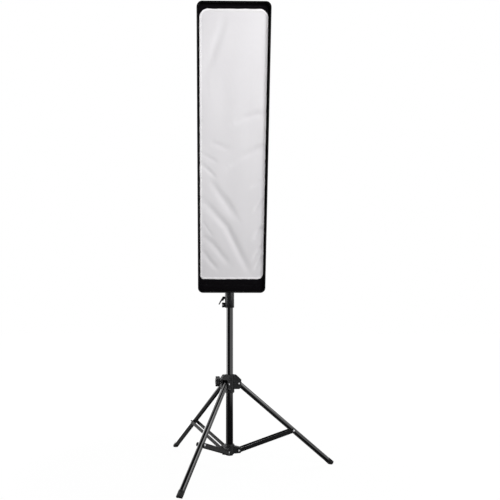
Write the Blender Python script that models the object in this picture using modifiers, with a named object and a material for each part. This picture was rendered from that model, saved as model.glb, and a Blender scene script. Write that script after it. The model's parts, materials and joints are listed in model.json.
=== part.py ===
"""Studio strip softbox on a folding light stand.

Metres, +Z up. The origin is the centre of the flat underside of the column's foot plug, on the column
axis. The softbox faces -Y and +X is to its right as seen from the front. The stand is open, the softbox
is yawed a little and leans forward.
"""

import math

import bmesh
import bpy

# --- Stand: heights are measured from the underside of the foot plug ---
FLOOR_Z = -0.048
LEG_AZIMUTHS = {"right": 9.15, "rear": 129.15, "front": 249.15}
KNOB_AZIMUTH = 189.15

LOWER_TUBE_RADIUS = 0.0150
MID_TUBE_RADIUS = 0.0130
TOP_TUBE_RADIUS = 0.0110
TUBE_WALL = 0.0014
LOWER_TUBE_SPAN = (0.0040, 0.6500)
MID_TUBE_SPAN = (0.4120, 1.0220)
TOP_TUBE_SPAN = (0.4720, 1.0600)
LOWER_LOCK_Z = 0.6137
UPPER_LOCK_Z = 0.9870
LOCK_HEIGHT = 0.0620
LOCK_RADIUS = 0.0195

PIVOT_RADIUS = 0.0380
COLLAR_PIVOT_Z = 0.2990
STRUT_PIVOT_Z = 0.0210
LEG_ANGLE = math.radians(49.2)
LEG_LENGTH = 0.5280
LEG_RADIUS = 0.0110
LEG_WALL = 0.0012
FOOT_RADIUS = 0.0125
LEG_TOP = 0.0090
LEG_TUBE_END = 0.5117
STRUT_JOINT = 0.3057
BAR_THICKNESS = 0.0025
BAR_WIDTH = 0.0165
BAR_INSIDE = 0.0128
PIN_RADIUS = 0.0025
PIN_HOLE_RADIUS = 0.0030
RIVET_RADIUS = 0.0042
RIVET_HEIGHT = 0.0014
CHEEK_THICKNESS = 0.0040
CHEEK_OFFSET = LEG_RADIUS + 0.0025
KNOB_FACE = 0.0400
LEVER_PIVOT = (-0.0250, 0.0415)
LEVER_ANGLE = math.radians(30)
CLAMP_BOLT = (-0.0245, 0.0115)

# --- Head: in the tilt frame, whose origin is the tilt pivot ---
TILT_PIVOT_Z = 1.1440
YAW = math.radians(4.3)
TILT = math.radians(12.2)
HEAD_AXIS = 0.0680
SPIGOT_RADIUS = 0.0080
HOUSING_RADIUS = 0.0450
HOUSING_SPAN = (-0.0580, 0.0600)
PAD_FACE = -0.0475

# --- Softbox: distances forward of the tilt pivot, along the head's axis ---
FRONT = 0.3240
LIP = 0.2900
REAR = 0.0800
FRONT_HALF = (0.1250, 0.4910)
LIP_HALF = (0.1235, 0.4895)
REAR_HALF = (0.0620, 0.0950)
FABRIC = 0.0025
INNER_PANEL = 0.2250
INNER_PANEL_HALF = (0.0920, 0.3180)
FRONT_PANEL = 0.3075
FRONT_PANEL_HALF = (0.1215, 0.4875)
ROD_RADIUS = 0.0022

GAP = 0.0003
MERGE = 0.00001
TURN_SIDES = 24
ALONG_X = (0, math.pi / 2, 0)
ALONG_Y = (math.pi / 2, 0, 0)
PLATE_UP = (0, -math.pi / 2, 0)
PLATE_DOWN = (0, math.pi / 2, 0)
SIDE_PLATE_DOWN = (math.pi / 2, math.pi / 2, 0)


def clear_scene():
    for item in list(bpy.data.objects):
        bpy.data.objects.remove(item, do_unlink=True)


def make_collection(name):
    group = bpy.data.collections.new(name)
    bpy.context.scene.collection.children.link(group)
    return group


def make_material(name, colour, roughness, metallic=0.0):
    look = bpy.data.materials.new(name)
    look.use_nodes = True
    shader = look.node_tree.nodes["Principled BSDF"]
    shader.inputs["Base Color"].default_value = (*colour, 1.0)
    shader.inputs["Roughness"].default_value = roughness
    shader.inputs["Metallic"].default_value = metallic
    look.diffuse_color = (*colour, 1.0)
    return look


clear_scene()
PARTS = make_collection("studio_softbox")
HELPERS = make_collection("cutters")

BLACK_PAINT = make_material("black_paint", (0.012, 0.012, 0.014), 0.22, 0.4)
BLACK_PLASTIC = make_material("black_plastic", (0.015, 0.015, 0.016), 0.45)
RUBBER = make_material("black_rubber", (0.010, 0.010, 0.010), 0.80)
STEEL = make_material("bright_steel", (0.60, 0.60, 0.62), 0.28, 1.0)
SPRING = make_material("spring_steel", (0.35, 0.35, 0.37), 0.35, 1.0)
CASTING = make_material("cast_aluminium", (0.30, 0.30, 0.31), 0.45, 1.0)
CERAMIC = make_material("ceramic", (0.80, 0.80, 0.78), 0.35)
GLASS = make_material("white_glass", (0.90, 0.90, 0.88), 0.15)
BLACK_FABRIC = make_material("black_fabric", (0.004, 0.003, 0.004), 0.90)
WHITE_FABRIC = make_material("white_fabric", (0.75, 0.75, 0.77), 0.90)


# --- Building blocks ---

def add_object(name, data, parent, look=None, location=(0, 0, 0), rotation=(0, 0, 0)):
    """Link an object. One without a material is a helper for a Boolean."""
    item = bpy.data.objects.new(name, data)
    item.parent = parent
    item.location = location
    item.rotation_euler = rotation
    if look:
        PARTS.objects.link(item)
        data.materials.append(look)
    else:
        HELPERS.objects.link(item)
        item.hide_render = True
        item.display_type = "WIRE"
    return item


def add_frame(name, parent=None, location=(0, 0, 0), rotation=(0, 0, 0)):
    empty = bpy.data.objects.new(name, None)
    PARTS.objects.link(empty)
    empty.parent = parent
    empty.location = location
    empty.rotation_euler = rotation
    return empty


def mesh_from(shape, name):
    mesh = bpy.data.meshes.new(name)
    shape.to_mesh(mesh)
    shape.free()
    return mesh


def add_box(name, low, high, parent, look=None):
    shape = bmesh.new()
    bmesh.ops.create_cube(shape, size=1.0)
    for vertex in shape.verts:
        for axis in range(3):
            middle = (low[axis] + high[axis]) / 2
            vertex.co[axis] = middle + vertex.co[axis] * (high[axis] - low[axis])
    return add_object(name, mesh_from(shape, name), parent, look)


def add_cylinder(name, radius, length, parent, look=None, location=(0, 0, 0), rotation=(0, 0, 0),
                 sides=16):
    """A cylinder centred on its location, along its own Z."""
    shape = bmesh.new()
    bmesh.ops.create_cone(
        shape, cap_ends=True, segments=sides, radius1=radius, radius2=radius, depth=length
    )
    return add_object(name, mesh_from(shape, name), parent, look, location, rotation)


def add_turned(name, profile, parent, look=None, hollow=False, sides=TURN_SIDES, location=(0, 0, 0),
               rotation=(0, 0, 0)):
    """Turn a profile of (radius, height) points, listed down its outer side, about local Z."""
    mesh = bpy.data.meshes.new(name)
    count = len(profile)
    edges = [(index, index + 1) for index in range(count - 1)]
    if hollow:
        edges.append((count - 1, 0))
    mesh.from_pydata([(radius, 0, height) for radius, height in profile], edges, [])
    item = add_object(name, mesh, parent, look, location, rotation)
    screw = item.modifiers.new("turn", "SCREW")
    screw.steps = sides
    screw.render_steps = sides
    screw.use_merge_vertices = True
    screw.merge_threshold = MERGE
    return item


def add_tube(name, radius, wall, span, parent, look=None):
    inside = radius - wall
    profile = [(radius, span[1]), (radius, span[0]), (inside, span[0]), (inside, span[1])]
    return add_turned(name, profile, parent, look, hollow=True)


def mesh_of_curve(item):
    """Turn a curve object into a welded mesh object with the same name, place and material."""
    graph = bpy.context.evaluated_depsgraph_get()
    mesh = bpy.data.meshes.new_from_object(item.evaluated_get(graph))
    shape = bmesh.new()
    shape.from_mesh(mesh)
    bmesh.ops.remove_doubles(shape, verts=shape.verts, dist=MERGE)
    bmesh.ops.recalc_face_normals(shape, faces=shape.faces)
    shape.to_mesh(mesh)
    shape.free()
    name = item.name
    look = item.data.materials[0] if item.data.materials else None
    parent, location, rotation = item.parent, item.location.copy(), item.rotation_euler.copy()
    bpy.data.objects.remove(item, do_unlink=True)
    mesh.materials.clear()
    return add_object(name, mesh, parent, look, location, rotation)


def circle_points(radius, centre=(0, 0), sides=10):
    steps = (2 * math.pi * index / sides for index in range(sides))
    return [(centre[0] + radius * math.cos(a), centre[1] + radius * math.sin(a)) for a in steps]


def rounded_outline(corners, radius, steps=3):
    """Corners of a convex outline, listed counter-clockwise, each replaced by an arc."""
    points = []
    count = len(corners)
    for index, corner in enumerate(corners):
        before = corners[index - 1]
        after = corners[(index + 1) % count]
        angle_in = math.atan2(corner[1] - before[1], corner[0] - before[0])
        angle_out = math.atan2(after[1] - corner[1], after[0] - corner[0])
        turn = (angle_out - angle_in) % (2 * math.pi)
        reach = radius * math.tan(turn / 2)
        start = (corner[0] - reach * math.cos(angle_in), corner[1] - reach * math.sin(angle_in))
        centre = (start[0] - radius * math.sin(angle_in), start[1] + radius * math.cos(angle_in))
        for step in range(steps + 1):
            angle = angle_in - math.pi / 2 + turn * step / steps
            points.append((centre[0] + radius * math.cos(angle), centre[1] + radius * math.sin(angle)))
    return points


def stadium(start, end, radius, steps=6):
    """Outline of a bar along local X with round ends."""
    points = []
    for centre, first in ((end, -math.pi / 2), (start, math.pi / 2)):
        for step in range(steps + 1):
            angle = first + math.pi * step / steps
            points.append((centre + radius * math.cos(angle), radius * math.sin(angle)))
    return points


def tongue(end, radius, steps=6):
    """Outline of a bar along local X, round at the start and square at the end."""
    arc = [math.pi / 2 + math.pi * step / steps for step in range(steps + 1)]
    return [(end, -radius), (end, radius)] + [(radius * math.cos(a), radius * math.sin(a)) for a in arc]


def rectangle(half_x, half_y):
    return [(-half_x, -half_y), (half_x, -half_y), (half_x, half_y), (-half_x, half_y)]


def add_plate(name, outline, thickness, parent, look=None, holes=(), location=(0, 0, 0), rotation=(0, 0, 0)):
    """A flat plate in local XY, centred on its location, with holes given as outlines."""
    curve = bpy.data.curves.new(name, "CURVE")
    curve.dimensions = "2D"
    curve.fill_mode = "BOTH"
    curve.extrude = thickness / 2
    for points in (outline, *holes):
        spline = curve.splines.new("POLY")
        spline.points.add(len(points) - 1)
        for point, (x, y) in zip(spline.points, points):
            point.co = (x, y, 0, 1)
        spline.use_cyclic_u = True
    return mesh_of_curve(add_object(name, curve, parent, look, location, rotation))


def add_wire(name, points, radius, parent, look=None, resolution=1):
    curve = bpy.data.curves.new(name, "CURVE")
    curve.dimensions = "3D"
    curve.bevel_depth = radius
    curve.bevel_resolution = resolution
    curve.use_fill_caps = True
    spline = curve.splines.new("POLY")
    spline.points.add(len(points) - 1)
    for point, place in zip(spline.points, points):
        point.co = (*place, 1)
    return mesh_of_curve(add_object(name, curve, parent, look))


def combine(piece, helper, operation="UNION"):
    change = piece.modifiers.new(helper.name, "BOOLEAN")
    change.operation = operation
    change.object = helper
    change.solver = "EXACT"


def cut(piece, helper):
    combine(piece, helper, "DIFFERENCE")


def add_pin(name, half_length, radius, parent, location=(0, 0, 0), head_height=RIVET_HEIGHT):
    """A riveted steel pin along local Y with a head at each end."""
    end = half_length + head_height
    head_radius = RIVET_RADIUS
    profile = [
        (0, end), (head_radius * 0.6, end), (head_radius, half_length), (radius, half_length),
        (radius, -half_length), (head_radius, -half_length), (head_radius * 0.6, -end), (0, -end),
    ]
    return add_turned(name, profile, parent, STEEL, sides=12, location=location, rotation=ALONG_Y)


def add_lobed_knob(name, radius, depth, parent, look, lobes=6, steps=30):
    """A lobed knob along local Z, its inner face at z = 0."""
    outline = []
    for index in range(steps):
        angle = 2 * math.pi * index / steps
        reach = radius * (0.93 + 0.07 * math.cos(lobes * angle))
        outline.append((reach * math.cos(angle), reach * math.sin(angle)))
    return add_plate(name, outline, depth, parent, look, location=(0, 0, depth / 2))


# --- The stand ---

def add_hub(name, radius, bore, span, chamfer, parent, look):
    low, high = span
    profile = [
        (radius - chamfer, high), (radius, high - chamfer), (radius, low + chamfer), (radius - chamfer, low),
        (bore, low), (bore, high),
    ]
    return add_turned(name, profile, parent, look, hollow=True)


def build_column(stand):
    add_tube("column_tube", LOWER_TUBE_RADIUS, TUBE_WALL, LOWER_TUBE_SPAN, stand, BLACK_PAINT)
    flange = LOWER_TUBE_SPAN[0] - GAP
    neck = LOWER_TUBE_RADIUS - TUBE_WALL - GAP
    plug = [(0, 0.022), (neck - 0.001, 0.022), (neck, 0.020), (neck, flange), (LOWER_TUBE_RADIUS, flange),
            (LOWER_TUBE_RADIUS, 0), (0, 0)]
    add_turned("foot_plug", plug, stand, BLACK_PLASTIC)

    bore = LOWER_TUBE_RADIUS + GAP
    collar = add_hub("lower_collar", 0.0210, bore, (0.0060, 0.0460), 0.0015, stand, BLACK_PLASTIC)
    lug = rounded_outline([(0.0180, -0.013), (0.0465, -0.011), (0.0465, 0.011), (0.0180, 0.018)], 0.004)
    for side, azimuth in LEG_AZIMUTHS.items():
        spoke = add_frame("lower_spoke_" + side, stand, (0, 0, STRUT_PIVOT_Z), (0, 0, math.radians(azimuth)))
        hole = circle_points(PIN_HOLE_RADIUS, (PIVOT_RADIUS, 0))
        lug_width = 2 * (BAR_INSIDE - 0.0004)
        combine(collar, add_plate("lower_lug_" + side, lug, lug_width, spoke, None, [hole],
                                  rotation=ALONG_Y))


def build_sliding_collar(slider):
    """The casting that carries the leg tops: a hub with two cheeks and a roof for each leg."""
    bore = LOWER_TUBE_RADIUS + 0.0004
    hub = add_hub("sliding_collar", 0.0205, bore, (-0.0390, 0.0380), 0.0020, slider, BLACK_PLASTIC)
    cheek_outline = rounded_outline(
        [(0.0140, -0.0230), (0.0400, -0.0230), (0.0475, -0.0140), (0.0475, 0.0170), (0.0280, 0.0360),
         (0.0140, 0.0360)], 0.003, 2)
    roof_outline = [(0.0175, 0.0175), (0.0460, 0.0175), (0.0280, 0.0355), (0.0175, 0.0355)]
    for side, azimuth in LEG_AZIMUTHS.items():
        spoke = add_frame("upper_spoke_" + side, slider, (0, 0, 0), (0, 0, math.radians(azimuth)))
        hole = circle_points(PIN_RADIUS + GAP, (PIVOT_RADIUS, 0))
        for label, offset in (("a", -CHEEK_OFFSET), ("b", CHEEK_OFFSET)):
            cheek = add_plate("cheek_" + side + label, cheek_outline, CHEEK_THICKNESS, spoke, None, [hole],
                              (0, offset, 0), ALONG_Y)
            combine(hub, cheek)
        combine(hub, add_plate("roof_" + side, roof_outline, 2 * CHEEK_OFFSET, spoke, rotation=ALONG_Y))
        half_length = CHEEK_OFFSET + CHEEK_THICKNESS / 2 + GAP
        add_pin("leg_pin_" + side, half_length, PIN_RADIUS, spoke, (PIVOT_RADIUS, 0, 0))
    return hub


def build_collar_knob(slider, collar):
    """The screw that locks the collar on the column; its frame's Z runs outward along the screw."""
    bearing = add_frame("knob_bearing", slider, (0, 0, 0.0085), (0, 0, math.radians(KNOB_AZIMUTH)))
    screw_frame = add_frame("knob_frame", bearing, (KNOB_FACE, 0, 0), ALONG_X)
    boss = add_cylinder("knob_boss", 0.0100, 0.0210, bearing, None, (0.0280, 0, 0), ALONG_X, 20)
    combine(collar, boss)
    cut(collar, add_cylinder("knob_hole", 0.0045, 0.0300, bearing, None, (0.0290, 0, 0), ALONG_X))
    knob = add_lobed_knob("collar_knob", 0.0215, 0.0190, screw_frame, BLACK_PLASTIC)
    inside_knob = 0.0040
    shank_length = KNOB_FACE - LOWER_TUBE_RADIUS - 2 * GAP + inside_knob
    combine(knob, add_cylinder("knob_shank", 0.0038, shank_length, screw_frame, None,
                               (0, 0, inside_knob - shank_length / 2), sides=12))


def build_leg(slider, side, azimuth):
    spoke = add_frame("leg_spoke_" + side, slider, (0, 0, 0), (0, 0, math.radians(azimuth)))
    frame = add_frame("leg_frame_" + side, spoke, (PIVOT_RADIUS, 0, 0), (0, -LEG_ANGLE, 0))
    leg = add_tube("leg_" + side, LEG_RADIUS, LEG_WALL, (-LEG_TUBE_END, LEG_TOP), frame, BLACK_PAINT)
    cut(leg, add_cylinder("leg_hole_" + side, PIN_HOLE_RADIUS, 0.03, frame, None, rotation=ALONG_Y, sides=12))
    inside = LEG_RADIUS + GAP
    top = -LEG_LENGTH + 0.042
    hollow_end = -LEG_TUBE_END - GAP
    cup = [(FOOT_RADIUS, top), (FOOT_RADIUS, -LEG_LENGTH), (0, -LEG_LENGTH), (0, hollow_end),
           (inside, hollow_end), (inside, top)]
    return add_turned("foot_" + side, cup, frame, RUBBER, hollow=True)


def build_strut(stand, side, azimuth):
    """Two flat bars on a pin through the lower collar; they straddle the leg at their outer ends."""
    spoke = add_frame("strut_spoke_" + side, stand, (0, 0, STRUT_PIVOT_Z), (0, 0, math.radians(azimuth)))
    reach = STRUT_JOINT * math.sin(LEG_ANGLE)
    rise = COLLAR_PIVOT_Z - STRUT_PIVOT_Z - STRUT_JOINT * math.cos(LEG_ANGLE)
    length = math.hypot(reach, rise)
    frame = add_frame("strut_frame_" + side, spoke, (PIVOT_RADIUS, 0, 0), (0, -math.atan2(rise, reach), 0))
    middle = BAR_INSIDE + BAR_THICKNESS / 2
    outline = stadium(0, length, BAR_WIDTH / 2)
    for label, direction in (("left", -1), ("right", 1)):
        bar = add_plate("strut_%s_%s" % (side, label), outline, BAR_THICKNESS, frame, BLACK_PAINT,
                        [circle_points(PIN_RADIUS + GAP)], (0, direction * middle, 0), ALONG_Y)
        head_place = (length, direction * (middle + BAR_THICKNESS / 2 + 0.0005), 0)
        combine(bar, add_cylinder("strut_head_%s_%s" % (side, label), RIVET_RADIUS, 0.0026, frame, None,
                                  head_place, ALONG_Y, 12))
    add_pin("strut_pin_" + side, BAR_INSIDE + BAR_THICKNESS + GAP, PIN_RADIUS, frame)


def build_lock(level, low, tube_radius, inner_radius, tube_top, parent):
    """A split clamp on a tube's top end, with its bolt and a flip lever on the left."""
    frame = add_frame(level + "_lock_frame", parent, (0, 0, low))
    wide = tube_radius + GAP
    narrow = inner_radius + 0.0005
    seat = tube_top - low + GAP
    profile = [
        (LOCK_RADIUS - 0.0015, LOCK_HEIGHT), (LOCK_RADIUS, LOCK_HEIGHT - 0.002), (LOCK_RADIUS, 0.002),
        (LOCK_RADIUS - 0.0015, 0), (wide, 0), (wide, seat), (narrow, seat), (narrow, LOCK_HEIGHT),
    ]
    collar = add_turned(level + "_lock_collar", profile, frame, BLACK_PLASTIC, hollow=True)
    block_half = 0.0080
    combine(collar, add_box(level + "_clamp_block", (-0.0310, -block_half, 0.0015),
                            (-0.0165, block_half, 0.0215), frame))
    lever_x, lever_z = LEVER_PIVOT
    lug = stadium(lever_x, -0.0200, 0.0052)
    lug_hole = circle_points(0.0024, (lever_x, 0))
    combine(collar, add_plate(level + "_lever_lug", lug, 0.0080, frame, None, [lug_hole],
                              (0, 0, lever_z), ALONG_Y))
    cut(collar, add_box(level + "_split", (-0.0400, -0.0010, -0.001), (-0.0100, 0.0010, 0.030), frame))
    bolt_place = (CLAMP_BOLT[0], 0, CLAMP_BOLT[1])
    cut(collar, add_cylinder(level + "_bolt_hole", 0.0026, 0.03, frame, None, bolt_place, ALONG_Y, 12))
    bolt_frame = add_frame(level + "_bolt_frame", frame, bolt_place)
    add_pin(level + "_lock_bolt", block_half + GAP, 0.0021, bolt_frame, head_height=0.0020)

    lever_frame = add_frame(level + "_lever_frame", frame, (lever_x, 0, lever_z), (0, LEVER_ANGLE, 0))
    cheek = stadium(-0.0005, 0.0090, 0.0050)
    grip = [(-0.0045, -0.0340), (-0.0010, -0.0340), (0.0005, -0.0060), (-0.0050, -0.0050)]
    lever = add_plate(level + "_lock_lever", grip, 0.0150, lever_frame, BLACK_PLASTIC, rotation=ALONG_Y)
    for label, offset in (("a", -0.0060), ("b", 0.0060)):
        combine(lever, add_plate(level + "_lever_cheek_" + label, cheek, 0.0030, lever_frame, None, (),
                                 (0, offset, 0), SIDE_PLATE_DOWN))
    combine(lever, add_cylinder(level + "_lever_pin", 0.0020, 0.0140, lever_frame, None,
                                rotation=ALONG_Y, sides=12))


def build_sections(stand):
    build_lock("lower", LOWER_LOCK_Z, LOWER_TUBE_RADIUS, MID_TUBE_RADIUS, LOWER_TUBE_SPAN[1], stand)
    mid = add_frame("mid_section", stand)
    add_tube("mid_tube", MID_TUBE_RADIUS, TUBE_WALL, MID_TUBE_SPAN, mid, BLACK_PAINT)
    build_lock("upper", UPPER_LOCK_Z, MID_TUBE_RADIUS, TOP_TUBE_RADIUS, MID_TUBE_SPAN[1], mid)
    top = add_frame("top_section", mid)
    add_tube("top_tube", TOP_TUBE_RADIUS, TUBE_WALL, TOP_TUBE_SPAN, top, BLACK_PAINT)
    shoulder = TOP_TUBE_SPAN[1] + GAP
    neck = TOP_TUBE_RADIUS - TUBE_WALL - GAP
    stud_top = shoulder + 0.0420
    spigot = [
        (0, stud_top), (SPIGOT_RADIUS - 0.0010, stud_top), (SPIGOT_RADIUS, stud_top - 0.0010),
        (SPIGOT_RADIUS, stud_top - 0.0120), (0.0065, stud_top - 0.0140), (0.0065, stud_top - 0.0220),
        (SPIGOT_RADIUS, stud_top - 0.0240), (SPIGOT_RADIUS, shoulder + 0.0040),
        (TOP_TUBE_RADIUS, shoulder + 0.0040), (TOP_TUBE_RADIUS, shoulder), (neck, shoulder),
        (neck, shoulder - 0.0250), (0, shoulder - 0.0250),
    ]
    add_turned("spigot", spigot, top, STEEL, sides=16)
    return top


# --- The head ---

def build_receiver(swivel):
    """The socket that drops over the spigot, with a fork for the tilt joint on top."""
    low = TOP_TUBE_SPAN[1] + 0.0055 - TILT_PIVOT_Z
    bore_top = TOP_TUBE_SPAN[1] + 0.0435 - TILT_PIVOT_Z
    top = -0.0260
    profile = [
        (0, top), (0.0145, top), (0.0155, top - 0.001), (0.0155, low + 0.001), (0.0145, low),
        (SPIGOT_RADIUS + GAP, low), (SPIGOT_RADIUS + GAP, bore_top), (0, bore_top),
    ]
    receiver = add_turned("spigot_receiver", profile, swivel, CASTING)
    for label, offset in (("a", -0.0105), ("b", 0.0105)):
        cheek = stadium(-0.0260, 0, 0.0125)
        hole = circle_points(0.0044)
        combine(receiver, add_plate("fork_cheek_" + label, cheek, 0.0050, swivel, None, [hole],
                                    (offset, 0, 0), PLATE_UP))
    knob_z = (low + bore_top) / 2 - 0.002
    combine(receiver, add_cylinder("receiver_boss", 0.0075, 0.0140, swivel, None, (-0.0170, 0, knob_z),
                                   ALONG_X, 16))
    cut(receiver, add_cylinder("receiver_hole", 0.0038, 0.0220, swivel, None, (-0.0180, 0, knob_z),
                               ALONG_X, 12))
    knob_frame = add_frame("receiver_knob_frame", swivel, (-0.0250, 0, knob_z), (0, -math.pi / 2, 0))
    knob = add_lobed_knob("receiver_knob", 0.0140, 0.0120, knob_frame, BLACK_PLASTIC, 5, 30)
    combine(knob, add_cylinder("receiver_knob_shank", 0.0032, 0.0190, knob_frame, None,
                               (0, 0, -0.0070), sides=12))


def build_tilt_handle(swivel):
    """The clamp bolt through the fork and its arm, which hangs beside the head."""
    frame = add_frame("tilt_handle_frame", swivel)
    arm = stadium(0, 0.0560, 0.0070)
    handle = add_plate("tilt_handle", arm, 0.0080, frame, BLACK_PLASTIC, (), (0.0540, 0, 0), PLATE_DOWN)
    hub = add_cylinder("tilt_handle_hub", 0.0085, 0.0400, frame, None, (0.0335, 0, 0), ALONG_X, 20)
    combine(handle, hub)
    bolt = add_cylinder("tilt_handle_bolt", 0.0040, 0.0400, frame, None, (-0.0010, 0, 0), ALONG_X)
    combine(handle, bolt)


def build_tilt_bracket(tilt):
    foot_top = HEAD_AXIS + PAD_FACE - GAP
    bracket = add_box("tilt_bracket", (-0.0155, -0.0300, foot_top - 0.0040), (0.0155, 0.0300, foot_top),
                      tilt, CASTING)
    lug = tongue(foot_top - 0.0020, 0.0125)
    hole = circle_points(0.0044)
    combine(bracket, add_plate("tilt_lug", lug, 0.0150, tilt, None, [hole], rotation=PLATE_UP))
    for label, place in (("front", -0.0220), ("rear", 0.0220)):
        cut(bracket, add_cylinder("bracket_hole_" + label, 0.0024, 0.02, tilt, None, (0, place, foot_top),
                                  sides=12))
        frame = add_frame("bracket_screw_frame_" + label, tilt, (0, place, foot_top - 0.0040 - GAP))
        screw = [(0, 0.0120), (0.0020, 0.0120), (0.0020, 0), (0.0038, 0), (0.0030, -0.0022), (0, -0.0022)]
        add_turned("bracket_screw_" + label, screw, frame, STEEL, sides=12)


def build_lamp_head(head):
    """Housing, rear cover and electrics. The head frame's Z runs forward and its Y runs up."""
    rear, front = HOUSING_SPAN
    inside = HOUSING_RADIUS - 0.0025
    profile = [
        (HOUSING_RADIUS - 0.0015, front), (HOUSING_RADIUS, front - 0.0015), (HOUSING_RADIUS, rear),
        (inside, rear), (inside, front - 0.0030), (0.0240, front - 0.0030), (0.0240, front),
    ]
    housing = add_turned("head_housing", profile, head, BLACK_PLASTIC, hollow=True, sides=28)
    combine(housing, add_box("housing_pad", (-0.0160, PAD_FACE, -0.0310), (0.0160, -0.0400, 0.0310), head))
    for label, place in (("front", 0.0220), ("rear", -0.0220)):
        cut(housing, add_cylinder("pad_hole_" + label, 0.0023, 0.03, head, None, (0, -0.0440, place),
                                  ALONG_Y, 12))

    edge = rear - GAP
    cover_profile = [
        (HOUSING_RADIUS, edge), (HOUSING_RADIUS, edge - 0.0100), (HOUSING_RADIUS - 0.0060, edge - 0.0160),
        (0, edge - 0.0160), (0, edge - 0.0130), (HOUSING_RADIUS - 0.0075, edge - 0.0130),
        (HOUSING_RADIUS - 0.0030, edge - 0.0085), (HOUSING_RADIUS - 0.0030, edge),
    ]
    cover = add_turned("rear_cover", cover_profile, head, BLACK_PLASTIC, hollow=True, sides=28)
    cut(cover, add_box("inlet_cut", (-0.0140, -0.0260, edge - 0.02), (0.0140, -0.0060, edge - 0.0110), head))
    cut(cover, add_box("switch_cut", (-0.0062, 0.0060, edge - 0.02), (0.0062, 0.0260, edge - 0.0110), head))

    face = edge - 0.0160
    inlet = add_box("power_inlet", (-0.0137, -0.0257, face - 0.0010), (0.0137, -0.0063, face + 0.0170),
                    head, BLACK_PLASTIC)
    combine(inlet, add_box("inlet_flange", (-0.0165, -0.0285, face - 0.0020),
                           (0.0165, -0.0035, face - GAP), head))
    cut(inlet, add_box("inlet_recess", (-0.0115, -0.0235, face - 0.0040),
                       (0.0115, -0.0085, face + 0.0140), head))
    for index, place in enumerate(((-0.0070, -0.0175), (0.0, -0.0145), (0.0070, -0.0175))):
        blade = (place[0] - 0.0010, place[1] - 0.0020, face + 0.0010)
        blade_end = (place[0] + 0.0010, place[1] + 0.0020, face + 0.0150)
        combine(inlet, add_box("inlet_blade_%d" % index, blade, blade_end, head))

    rocker_frame = add_frame("switch_frame", head, (0, 0.0160, face + 0.0010))
    rocker = [(0.0050, -0.0085), (0.0050, 0.0085), (-0.0030, 0.0085), (-0.0018, 0), (-0.0030, -0.0085)]
    add_plate("power_switch", rocker, 0.0110, rocker_frame, BLACK_PLASTIC, rotation=PLATE_UP)

    hub_profile = [
        (0.0360, 0.0905), (0.0360, 0.0875), (0.0295, 0.0875), (0.0295, front + GAP), (0.0258, front + GAP),
        (0.0258, 0.0905),
    ]
    add_turned("ring_hub", hub_profile, head, CASTING, hollow=True)
    wall = front - 0.0030 - GAP
    socket = [
        (0.0195, 0.0780), (0.0195, wall), (0.0300, wall), (0.0300, wall - 0.0050), (0.0180, wall - 0.0050),
        (0.0150, 0.0200), (0, 0.0200), (0, 0.0400), (0.0139, 0.0400), (0.0139, 0.0780),
    ]
    add_turned("lamp_socket", socket, head, CERAMIC, hollow=True, sides=16)
    base = [
        (0, 0.1150), (0.0225, 0.1150), (0.0240, 0.1130), (0.0240, 0.0900), (0.0150, 0.0800),
        (0.0130, 0.0785), (0.0130, 0.0440), (0.0060, 0.0420), (0, 0.0420),
    ]
    add_turned("lamp_base", base, head, CERAMIC, sides=16)
    turns = 4
    steps_per_turn = 10
    coil_radius = 0.0210
    glass_radius = 0.0055
    coil_start = 0.1215
    rise = 0.0150 / steps_per_turn
    coil = []
    for step in range(turns * steps_per_turn + 1):
        angle = 2 * math.pi * step / steps_per_turn
        x, y = coil_radius * math.cos(angle), coil_radius * math.sin(angle)
        coil.append((x, y, coil_start + rise * step))
    add_wire("lamp_tube", coil, glass_radius, head, GLASS)


# --- The softbox ---

def loft(name, sections, parent, look):
    """A skin through rounded rectangles, open at both ends, made solid inwards."""
    shape = bmesh.new()
    rings = []
    for forward, half, radius in sections:
        outline = rounded_outline(rectangle(*half), radius)
        rings.append([shape.verts.new((x, y, forward)) for x, y in outline])
    count = len(rings[0])
    for first, second in zip(rings, rings[1:]):
        for index in range(count):
            after = (index + 1) % count
            shape.faces.new((first[index], first[after], second[after], second[index]))
    item = add_object(name, mesh_from(shape, name), parent, look)
    skin = item.modifiers.new("thickness", "SOLIDIFY")
    skin.thickness = FABRIC
    skin.offset = -1.0
    return item


def rod_points(sign_x, sign_y, steps=8):
    """A quadratic bow from the speed ring to a front corner."""
    start = (0.0230, 0.0400, 0.0840)
    bend = (0.0730, 0.2450, 0.1640)
    end = (0.1130, 0.4780, 0.3010)
    points = []
    for step in range(steps + 1):
        part = step / steps
        weights = ((1 - part) ** 2, 2 * part * (1 - part), part ** 2)
        x, y, z = (sum(w * p[axis] for w, p in zip(weights, (start, bend, end))) for axis in range(3))
        points.append((sign_x * x, sign_y * y, z))
    return points


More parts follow.
